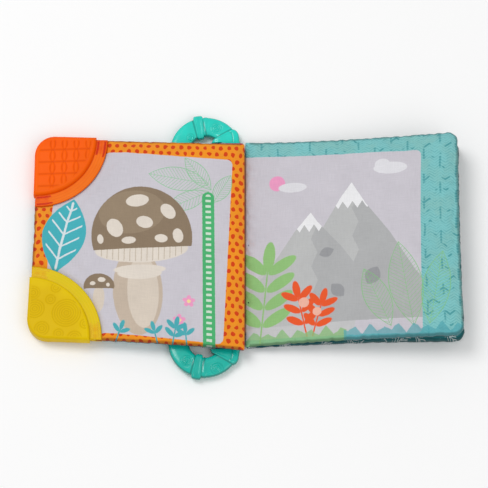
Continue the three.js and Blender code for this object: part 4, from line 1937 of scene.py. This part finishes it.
@dataclass(frozen=True)
class Ripples:
    """Groups of concentric rings like drops on water, in book millimetres: centre and reach of each."""

    pitch: float = 1.8
    base: float = -0.12
    ring_depth: float = 0.3
    ring_half: float = 0.5
    groups: tuple[Triple, ...] = (
        (-137.0, -58.6, 10.9),
        (-161.4, -54.4, 7.6),
        (-155.6, -70.6, 5.8),
        (-142.6, -75.1, 4.3),
        (-130.4, -79.0, 5.6),
        (-149.4, -47.2, 3.8),
        (-122.6, -67.6, 4.0),
        (-163.0, -41.4, 5.0),
        (-145.6, -37.8, 4.4),
    )

    def __call__(self, x: Numbers, y: Numbers) -> Numbers:
        """The relief on the face.

        Args:
            x: First coordinate.
            y: Second coordinate.

        Returns:
            The heights over the face.
        """
        height = np.full(np.shape(x), self.base)
        for cx, cy, reach in self.groups:
            far = np.hypot(x - cx, y - cy)
            step = (far + self.pitch / 2) % self.pitch - self.pitch / 2
            ring = self.base - self.ring_depth * np.exp(-((step / self.ring_half) ** 2))
            inside = 1 - smooth_step(far, reach + 0.2, reach + 0.8)
            height = height * (1 - inside) + ring * inside
        return height


def loft(stations: list[Numbers], closed: bool) -> tuple[Numbers, list]:
    """Joins cross-sections with the same number of points.

    Args:
        stations: The sections in order.
        closed: True if the last joins the first, otherwise both ends are filled.

    Returns:
        The points and faces.
    """
    count = len(stations[0])
    faces = []
    last = len(stations) if closed else len(stations) - 1
    for n in range(last):
        here, there = n * count, (n + 1) % len(stations) * count
        for i in range(count):
            j = (i + 1) % count
            faces.append((here + i, here + j, there + j, there + i))
    if not closed:
        faces.append(tuple(reversed(range(count))))
        faces.append(tuple(range((len(stations) - 1) * count, len(stations) * count)))
    return np.vstack(stations), faces


@dataclass
class RingLink:
    """A flat ring link with a collar and a capped joint, in millimetres from its own centre.

    Each drop is a centre and a reach. Fields with share in their name are shares of the half length or
    the half width of their part.
    """

    name: str
    node: str
    side: int
    drops: tuple[Triple, ...]
    centre: Triple = (-31.5, 79.7, 4.3)
    middle_radius: float = 20.0
    half_width: float = 7.8
    half_thick: float = 3.2
    roundness: float = 0.62
    drop_pitch: float = 1.9
    drop_height: float = 0.34
    band_rise: Pair = (87.2, 88.2)
    band_fall: Pair = (92.0, 94.0)
    band_height: float = 0.28
    collar_at: float = 105.0
    collar_turn: float = 98.5
    collar_half: float = 3.8
    collar_reach: float = 8.1
    collar_flare: float = 1.9
    collar_ridge: float = 0.5
    ridge_share: float = 0.7
    round_share: float = 0.84
    seam_turn: float = 31.0
    seam_point: Pair = (13.4, 13.0)
    seam_in: float = 9.4
    seam_out: float = 9.2
    neck_in: Pair = (4.2, 5.9)
    neck_out: Pair = (26.6, 5.9)
    knuckle_share: float = 0.5
    bulge: float = 2.5

    def rim(self, sides: int) -> Numbers:
        """A rounded cross-section of half width and half height one, with evenly spread points.

        Args:
            sides: How many points it has.

        Returns:
            The points.
        """
        angle = np.linspace(0, math.tau, 1441)
        round_ways = np.stack([np.cos(angle), np.sin(angle)], -1)
        soft = np.sign(round_ways) * np.abs(round_ways) ** self.roundness
        real = soft * (self.half_width, self.half_thick)
        far = np.concatenate([[0], np.cumsum(np.linalg.norm(np.diff(real, axis=0), axis=1))])
        even = np.linspace(0, far[-1], sides, endpoint=False)
        return np.stack([np.interp(even, far, soft[:, i]) for i in (0, 1)], -1)

    def settled(self, points: Numbers) -> Numbers:
        """Moves points from the ring's own centre to its place."""
        cx, cy, cz = self.centre
        return np.stack([points[:, 0] + cx, self.side * (points[:, 1] + cy), points[:, 2] + cz], -1)

    def part(
        self, name: str, stations: list[Numbers], closed: bool, shade: list[Numbers], material: Material
    ) -> Piece:
        """Makes one lofted part of the link.

        Args:
            name: The part's name.
            stations: Its cross-sections.
            closed: True if it goes all round.
            shade: Painted shade for each cross-section: one where the finish is plain, towards zero deep in
                a crease.
            material: Its finish.

        Returns:
            The piece.
        """
        points, faces = loft(stations, closed)
        made = new_piece(f"{self.name}_{name}", self.settled(points), faces, material)
        values = np.clip(np.concatenate(shade), 0, 1)
        made.data.attributes.new(EDGE, "FLOAT", "POINT").data.foreach_set("value", values)
        return clean_up(made)

    def drop_relief(self, points: Numbers) -> Numbers:
        """Concentric ridges on the flat face, in millimetres.

        Args:
            points: Points of the plain ring.

        Returns:
            How far each one rises.
        """
        lift = np.zeros(len(points))
        for cx, cy, reach in self.drops:
            far = np.hypot(points[:, 0] - cx, points[:, 1] - cy)
            ridge = self.drop_height * np.cos(far / self.drop_pitch * math.tau) - 0.1
            lift += ridge * (1 - smooth_step(far, reach - 0.3, reach + 0.4))
        return lift * (points[:, 2] > self.half_thick * 0.75)

    def tube(self, material: Material) -> Piece:
        """The plain ring with its raised drops and a low band beside the collar.

        Args:
            material: Its finish.

        Returns:
            The piece.
        """
        rim = self.rim(104)
        # Painted shade on the tube's sides.
        flank = 0.8 * smooth_step(np.abs(rim[:, 0]), 0.85, 0.97)
        seam = math.radians(self.seam_turn)
        stations, shade = [], []
        for angle in np.arange(0, 360, 1.0):
            turn = math.radians(angle)
            rise, fall = (smooth_step(np.array(angle), *ends) for ends in (self.band_rise, self.band_fall))
            band = rise * (1 - fall) * self.band_height
            wide = self.middle_radius + rim[:, 0] * (self.half_width + band)
            flat = wide[:, None] * np.array([math.cos(turn), math.sin(turn)])
            points = np.column_stack([flat, rim[:, 1] * (self.half_thick + band)])
            relief = self.drop_relief(points)
            points[:, 2] += relief
            right, up = points[:, 0] - self.seam_point[0], points[:, 1] - self.seam_point[1]
            past = up * math.cos(seam) - right * math.sin(seam)
            crease = np.exp(-((past / 0.9) ** 2)) * (points[:, 0] > 0)
            beside = np.abs(angle - self.collar_at) * math.radians(1) * wide - self.collar_half
            crease = np.maximum(crease, np.exp(-((beside / 0.7) ** 2)))
            stations.append(points)
            # Painted shade at the cap's seam, beside the collar, on the sides and between the drops'
            # ridges.
            shade.append(1 - np.maximum(0.9 * crease, flank) + relief * 0.8)
        return self.part("tube", stations, True, shade, material)

    def collar(self, material: Material) -> Piece:
        """The ridged sleeve, wider at its outer end.

        Args:
            material: Its finish.

        Returns:
            The piece.
        """
        rim = self.rim(96)
        at, turn = math.radians(self.collar_at), math.radians(self.collar_turn)
        middle = self.middle_radius * np.array([math.cos(at), math.sin(at)])
        out, side = np.array([math.cos(turn), math.sin(turn)]), np.array([-math.sin(turn), math.cos(turn)])
        # Painted shade on the collar's sides.
        rim_end = 0.7 * smooth_step(np.abs(rim[:, 0]), 0.88, 0.98)
        stations, shade = [], []
        for share in np.linspace(-1, 1, 57):
            ridge = math.exp(-(((abs(share) - self.ridge_share) / 0.15) ** 2))
            past = max(0.0, abs(share) - self.round_share) / (1 - self.round_share)
            flank = math.sqrt(max(0.0, 1 - past**2))
            flare = math.sqrt(max(0.0, 1 - 0.92 * share**4)) * (0.3 + 0.7 * flank)
            thick = self.half_thick + 0.04 + (0.2 + self.collar_ridge * ridge) * flank
            along = rim[:, 0] * (self.collar_reach + self.collar_flare * flare)
            shift = share * self.collar_half * (0.87 + 0.13 * rim[:, 0])
            flat = middle + along[:, None] * out + shift[:, None] * side
            stations.append(np.column_stack([flat, rim[:, 1] * thick]))
            hollow = math.exp(-((share / 0.5) ** 2)) * (np.abs(rim[:, 0]) < 0.86)
            # Painted shade in the collar's middle, towards its rounded ends and on its sides.
            shade.append(1 - np.maximum(0.3 * hollow + 0.6 * (1 - flank), rim_end))
        return self.part("collar", stations, False, shade, material)

    def cap(self, material: Material) -> Piece:
        """The cap that closes the ring beside the ribbon, with a knuckle at its outer end.

        Args:
            material: Its finish.

        Returns:
            The piece.
        """
        rim = self.rim(160)
        seam = math.radians(self.seam_turn)
        way = np.array([math.cos(seam), math.sin(seam)])
        inner = np.array([self.neck_in, self.seam_point - way * self.seam_in])
        outer = np.array([self.neck_out, self.seam_point + way * self.seam_out])
        knuckle = smooth_step(rim[:, 0], self.knuckle_share, self.knuckle_share + 0.14)
        # Painted shade in the knuckle's groove and on the cap's sides.
        groove = 0.55 * np.exp(-(((rim[:, 0] - self.knuckle_share - 0.02) / 0.07) ** 2))
        dark = groove + 0.7 * smooth_step(np.abs(rim[:, 0]), 0.88, 0.98)
        stations, shade = [], []
        for share in np.linspace(0, 1, 49):
            start = inner[0] + (inner[1] - inner[0]) * share
            swell = self.bulge * math.sin(math.pi * share**1.7) ** 0.6
            end = outer[0] + (outer[1] - outer[0]) * share + np.array([0.94, 0.34]) * swell
            close = min(share * 7.0, (1 - share) * 10.5)
            soft = math.sqrt(max(0.0, 1 - (1 - min(close, 0.7) / 0.7) ** 2))
            middle, half = (start + end) / 2, (end - start) / 2 * (0.965 + 0.035 * soft)
            ridge = 0.25 * math.exp(-((((1 - share) * 9.5 - 1.3) / 0.8) ** 2))
            lift = 0.06 + (0.14 + 0.6 * ridge + 0.3 * knuckle) * soft
            thick = self.half_thick + lift
            stations.append(np.column_stack([middle + rim[:, :1] * half, rim[:, 1] * thick]))
            # Painted shade towards the cap's ends, in the knuckle's groove and on its sides.
            shade.append((0.3 + 0.7 * soft) * (1 - np.minimum(dark, 0.8)))
        return self.part("cap", stations, False, shade, material)


@dataclass
class RibbonLoop:
    """A ribbon band through a ring, sewn into the spine."""

    name: str
    node: str
    side: int
    left: float = -22.4
    right: float = -1.5
    low: float = 73.2
    width: float = 11.2
    height: float = 8.6
    thick: float = 0.8
    rounding: float = 2.6
    step: float = 0.7
    wave: float = 0.12

    def path(self) -> list[Numbers]:
        """Points round the band: the place that each turns about, and the way from it to the band.

        Returns:
            The x and z of the place and of the way, for each point.
        """
        path = []
        half = self.height / 2
        corners = ((self.right, 0), (self.right, self.height), (self.left, self.height), (self.left, 0))
        for n, (x, z) in enumerate(corners):
            cx = x + math.copysign(self.rounding, (self.left + self.right) / 2 - x)
            cz = z + math.copysign(self.rounding, half - z)
            for turn in np.radians(np.linspace(-90 + 90 * n, 90 * n, 9)):
                path.append(np.array([cx, cz, math.cos(turn), math.sin(turn)]))
        dense = []
        for here, there in zip(path, path[1:] + path[:1]):
            steps = max(1, int(math.hypot(*(there - here)[:2]) / self.step))
            dense += [here + (there - here) * s / steps for s in range(steps)]
        return dense

    def band(self, material: Material) -> Piece:
        """The woven band.

        Args:
            material: Its finish.

        Returns:
            The piece.
        """
        across = np.linspace(0, 1, 25)
        y = self.side * (self.low + self.width * across)
        edge = np.minimum(across, 1 - across) * self.width
        half_thick = self.thick / 2 * quarter_round(edge + 0.05, 0.4)
        middle = self.rounding - self.thick / 2
        stations = []
        for n, (cx, cz, wx, wz) in enumerate(self.path()):
            dip = np.abs(self.wave * np.sin(n * 0.35) * np.sin(across * math.pi)) / 2
            outer, inner = middle + half_thick - dip, middle - half_thick
            skins = [np.stack([cx + wx * far, y, cz + wz * far], -1) for far in (outer, inner)]
            stations.append(np.vstack([skins[0], skins[1][::-1]]))
        points, faces = loft(stations, True)
        return clean_up(new_piece(f"{self.name}_band", points, faces, material))


@dataclass(frozen=True)
class SpineStrip:
    """The cloth that joins the leaves at the spine, short enough to leave the ribbon loops room to bend."""

    half_length: float = 72.6
    left: float = -0.92
    right: float = -0.62
    low: float = 0.4
    high: float = 11.1

    def strip(self, material: Material) -> Piece:
        """The standing strip.

        Args:
            material: Its finish.

        Returns:
            The piece.
        """
        left, right, low, high = self.left, self.right, self.low, self.high
        section = ((left, low), (right, low), (right, high), (left, high))
        ys = np.linspace(-self.half_length, self.half_length, 146)
        points, faces = loft([np.array([(x, y, z) for x, z in section]) for y in ys], False)
        return clean_up(new_piece("spine_strip", points, faces, material))


class Stitches:
    """Thread stitches that Geometry Nodes set out on given points, sized in millimetres."""

    PITCH = 0.55
    HALF_LENGTH = 0.95
    RADIUS = 0.26
    SLANT = 0.25

    def __init__(self) -> None:
        """Builds the node tree once."""
        self.tree = bpy.data.node_groups.new("stitches", "GeometryNodeTree")
        face = self.tree.interface
        face.new_socket("Geometry", in_out="INPUT", socket_type="NodeSocketGeometry")
        self.sockets = {}
        for name, kind in (("Half length", "Float"), ("Radius", "Float"), ("Thread", "Material")):
            socket = face.new_socket(name, in_out="INPUT", socket_type=f"NodeSocket{kind}")
            self.sockets[name] = socket.identifier
        face.new_socket("Geometry", in_out="OUTPUT", socket_type="NodeSocketGeometry")
        add = self.tree.nodes.new
        link = self.tree.links.new
        given, result = add("NodeGroupInput"), add("NodeGroupOutput")
        ball, scale = add("GeometryNodeMeshUVSphere"), add("ShaderNodeCombineXYZ")
        ball.inputs["Segments"].default_value = 10
        ball.inputs["Rings"].default_value = 8
        ball.inputs["Radius"].default_value = 1.0
        points, direction = add("GeometryNodeMeshToPoints"), add("GeometryNodeInputNamedAttribute")
        direction.data_type = "FLOAT_VECTOR"
        direction.inputs["Name"].default_value = "way"
        turn, spread = add("FunctionNodeAlignRotationToVector"), add("GeometryNodeInstanceOnPoints")
        turn.axis = "X"
        real, dress = add("GeometryNodeRealizeInstances"), add("GeometryNodeSetMaterial")
        link(given.outputs["Geometry"], points.inputs["Mesh"])
        link(points.outputs[0], spread.inputs["Points"])
        link(ball.outputs["Mesh"], spread.inputs["Instance"])
        link(direction.outputs[0], turn.inputs["Vector"])
        link(turn.outputs[0], spread.inputs["Rotation"])
        link(given.outputs["Half length"], scale.inputs[0])
        link(given.outputs["Radius"], scale.inputs[1])
        link(given.outputs["Radius"], scale.inputs[2])
        link(scale.outputs[0], spread.inputs["Scale"])
        link(spread.outputs[0], real.inputs[0])
        link(real.outputs[0], dress.inputs["Geometry"])
        link(given.outputs["Thread"], dress.inputs["Material"])
        link(dress.outputs[0], result.inputs[0])

    def sew(self, name: str, lines: list[Numbers], thread: Material) -> Piece:
        """Sews close stitches across each of some lines.

        Args:
            name: The piece's name.
            lines: Points along each seam.
            thread: The thread's finish.

        Returns:
            The stitches as one piece.
        """
        at, ways = [], []
        for line in lines:
            gaps = np.linalg.norm(np.diff(line, axis=0), axis=1)
            far = np.concatenate([[0], np.cumsum(gaps)])
            places = np.arange(self.PITCH / 2, far[-1], self.PITCH)
            on, further = (
                np.stack([np.interp(places + step, far, line[:, i]) for i in range(3)], -1)
                for step in (0.0, 0.2)
            )
            x, y, z = (further - on).T
            at.append(on)
            ways.append(np.stack([-y - x * self.SLANT, x - y * self.SLANT, z], -1))
        mesh = bpy.data.meshes.new(name)
        mesh.from_pydata((np.vstack(at) * MM).tolist(), [], [])
        way = mesh.attributes.new("way", "FLOAT_VECTOR", "POINT")
        way.data.foreach_set("vector", np.vstack(ways).ravel())
        holder = bpy.data.objects.new(name, mesh)
        bpy.context.scene.collection.objects.link(holder)
        stage = holder.modifiers.new("Stitches", "NODES")
        stage.node_group = self.tree
        stage[self.sockets["Half length"]] = self.HALF_LENGTH * MM
        stage[self.sockets["Radius"]] = self.RADIUS * MM
        stage[self.sockets["Thread"]] = thread
        bpy.context.view_layer.update()
        seen = holder.evaluated_get(bpy.context.evaluated_depsgraph_get())
        made = bpy.data.meshes.new_from_object(seen)
        holder.modifiers.remove(stage)
        holder.data = made
        made.shade_smooth()
        return holder


class Book:
    """Builds every piece of the book and puts it on its body."""

    def __init__(self) -> None:
        """Makes the finishes."""
        prints, mould = PagePrint(), MouldFinish()
        self.stitches = Stitches()
        self.cover_print = prints.cover()
        self.leaf_print = prints.leaf()
        self.cover_back = prints.ferns("cover_back_print", "2C9CA4", "DCEBEA")
        self.leaf_back = prints.ferns("leaf_back_print", "1F7378", "E6EFEE")
        self.dark_print = prints.ferns("dark_print", "1F7378", "E6EFEE")
        self.film = mould.film()
        self.wadding = mould.wadding()
        self.spine = mould.plain_cloth("spine_cloth", "E08A4E", "B5683C")
        self.orange = mould.soft("orange_rubber", "FF6200", "D04400", "F46400", "F25600", 0.5)
        self.yellow = mould.soft("yellow_rubber", "E0BA00", "B89400", "EACA00", "D6AE00", 0.6)
        through = (("EE5000", "D83400"), ("E6B000", "DC8C04"))
        self.orange_flange = mould.flange("orange_flange", "F57400", "DC4C00", through[0], "EE6A00")
        self.yellow_flange = mould.flange("yellow_flange", "E4C400", "CDB404", through[1], "D6C406")
        self.ribbon = mould.ribbon("magenta_ribbon", "B01048", "7D1236")
        self.top_plastic = mould.gloss("top_ring_plastic", "1FDECC", "0B9488")
        self.bottom_plastic = mould.gloss("bottom_ring_plastic", "12C1B0", "087A70")
        self.red_thread = mould.thread("red_thread", "F03800", "CC2A00")
        self.yellow_thread = mould.thread("yellow_thread", "FFE23A", "EBBC00")

    def put(self, piece: Piece, body: str, node: str = "") -> None:
        """Puts a piece on its body in place of its CAD solid, and reports it.

        Args:
            piece: The piece.
            body: The body that it rides on.
            node: The CAD node that it takes the place of, if any.
        """
        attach(piece, body)
        if node:
            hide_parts(node)
        LOG.info("%s: %d faces on %s", piece.name, len(piece.data.polygons), body)

    def leaf(self, leaf: Leaf, upper: Cloth, lower: Cloth) -> None:
        """Builds one padded leaf.

        Args:
            leaf: The leaf.
            upper: Its upper cloth's CAD node, name and finish.
            lower: Its lower cloth's CAD node, name and finish.
        """
        filling = LeafFilling(leaf)
        film = filling.film(self.film)
        padding = filling.padding(self.wadding)
        top = leaf.cloth(upper[1], 1, upper[2], leaf.OUTER_STEP)
        under = leaf.cloth(lower[1], -1, lower[2], leaf.UNDER_STEP)
        self.put(film, leaf.name, f"{leaf.name}_crinkle_film")
        self.put(padding, leaf.name, f"{leaf.name}_padding")
        self.put(top, leaf.name, upper[0])
        self.put(under, leaf.name, lower[0])
        flat = (leaf.width * MM, leaf.height * MM)
        inner = tuple(size - 2 * FILM_INSET * MM for size in flat)
        leaf.cloth_share * inner[0] * inner[1]

    def corner(self, teether: Teether, rubber: Material, band: Material, thread: Material) -> None:
        """Builds one corner teether with the finishes of its body, flange and thread.

        Args:
            teether: The teether.
            rubber: Its body's finish.
            band: Its flange's finish.
            thread: Its stitches' finish.
        """
        body, flange = teether.body(rubber), teether.flange(band)
        tacks = self.stitches.sew(f"{teether.name}_stitches", teether.tacks(), thread)
        self.put(body, "front_cover", teether.node)
        for piece in (flange, tacks):
            self.put(piece, "front_cover")

    def link(self, ring: RingLink, loop: RibbonLoop, plastic: Material) -> None:
        """Builds one ring link and its ribbon loop, whose names are their bodies' names too.

        Args:
            ring: The ring link.
            loop: Its ribbon loop.
            plastic: The ring's finish.
        """
        self.put(ring.tube(plastic), ring.name, ring.node)
        self.put(ring.collar(plastic), ring.name)
        self.put(ring.cap(plastic), ring.name)
        self.put(loop.band(self.ribbon), loop.name, loop.node)

    def build(self) -> None:
        """Builds everything."""
        self.leaf(
            COVER,
            ("front_cover_reading_cloth", "cover_reading_cloth", self.cover_print),
            ("front_cover_outer_cloth", "cover_outer_cloth", self.cover_back),
        )
        self.leaf(
            INNER,
            ("inner_leaf_front_cloth", "leaf_front_cloth", self.leaf_print),
            ("inner_leaf_back_cloth", "leaf_back_cloth", self.leaf_back),
        )
        self.leaf(
            BACK,
            ("back_cover_inner_cloth", "back_inner_cloth", self.leaf_back),
            ("back_cover_outer_cloth", "back_outer_cloth", self.dark_print),
        )
        orange = Teether("orange_teether", "orange_corner_teether", -1, Waffle())
        yellow = Teether("yellow_teether", "yellow_corner_teether", 1, Ripples(), rim=2.4, foot_depth=0.12)
        self.corner(orange, self.orange, self.orange_flange, self.red_thread)
        self.corner(yellow, self.yellow, self.yellow_flange, self.yellow_thread)
        ring = RingLink("top_ring", "top_ring_link", 1, TOP_DROPS + HIDDEN_DROPS)
        self.link(ring, RibbonLoop("top_loop", "top_ribbon_loop", 1), self.top_plastic)
        ring = RingLink("bottom_ring", "bottom_ring_link", -1, BOTTOM_DROPS + HIDDEN_DROPS)
        self.link(ring, RibbonLoop("bottom_loop", "bottom_ribbon_loop", -1), self.bottom_plastic)
        self.put(SpineStrip().strip(self.spine), "back_cover", "spine_cloth")


@dataclass(frozen=True)
class Studio:
    """The photo's camera and soft light over a pale floor, in metres.

    Each light is its place, its width and its power in watts.
    """

    elevation: float = 68.94
    target: Triple = (-0.00144, -0.00097, 0.010)
    distance: float = 2.0
    lens: float = 190.95
    key: tuple[Triple, float, float] = ((-1.12, 0.8, 2.4), 1.44, 26.9)
    fill: tuple[Triple, float, float] = ((1.44, -1.44, 2.08), 2.24, 15.4)
    sky: float = 0.56
    floor_half: float = 3.0
    floor_height: float = -0.0002

    def camera(self) -> None:
        """Places the camera at the photo's angle."""
        data = bpy.data.cameras.new("camera")
        data.lens, data.sensor_width = self.lens, 36.0
        data.clip_end = 20.0
        piece = bpy.data.objects.new("camera", data)
        lean = math.radians(self.elevation)
        away = Vector((0.0, -math.cos(lean), math.sin(lean)))
        piece.location = Vector(self.target) + away * self.distance
        piece.rotation_euler = (math.pi / 2 - lean, 0.0, 0.0)
        bpy.context.scene.collection.objects.link(piece)
        bpy.context.scene.camera = piece

    def light(self, name: str, at: Triple, size: float, power: float) -> None:
        """Adds one soft light aimed at the book.

        Args:
            name: The light's name.
            at: Where it hangs.
            size: Its width.
            power: Its power.
        """
        data = bpy.data.lights.new(name, "AREA")
        data.shape, data.size, data.energy = "DISK", size, power
        piece = bpy.data.objects.new(name, data)
        piece.location = at
        piece.rotation_euler = (Vector(self.target) - Vector(at)).to_track_quat("-Z", "Y").to_euler()
        bpy.context.scene.collection.objects.link(piece)

    def floor(self) -> None:
        """Lays a plain pale floor."""
        nodes = Nodes("floor")
        material = nodes.finish("FFFFFF", 0.95)
        mesh = bpy.data.meshes.new("floor")
        far, low = self.floor_half, self.floor_height
        corners = [(x * far, y * far, low) for x, y in ((-1, -1), (1, -1), (1, 1), (-1, 1))]
        mesh.from_pydata(corners, [], [(0, 1, 2, 3)])
        mesh.materials.append(material)
        piece = bpy.data.objects.new("floor", mesh)
        bpy.context.scene.collection.objects.link(piece)

    def set_up(self) -> None:
        """Sets everything up."""
        world = bpy.data.worlds.new("studio")
        world.use_nodes = True
        background = world.node_tree.nodes["Background"]
        background.inputs[0].default_value = (1.0, 1.0, 1.0, 1.0)
        background.inputs[1].default_value = self.sky
        bpy.context.scene.world = world
        bpy.context.scene.view_settings.view_transform = "Standard"
        self.light("key", *self.key)
        self.light("fill", *self.fill)
        self.camera()
        self.floor()


def main() -> None:
    """Builds the book in its studio."""
    logging.basicConfig(level=logging.INFO)
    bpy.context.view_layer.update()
    for leaf in (COVER, INNER):
        leaf.inflate()
    Book().build()
    Studio().set_up()


if __name__ == "__main__":
    main()
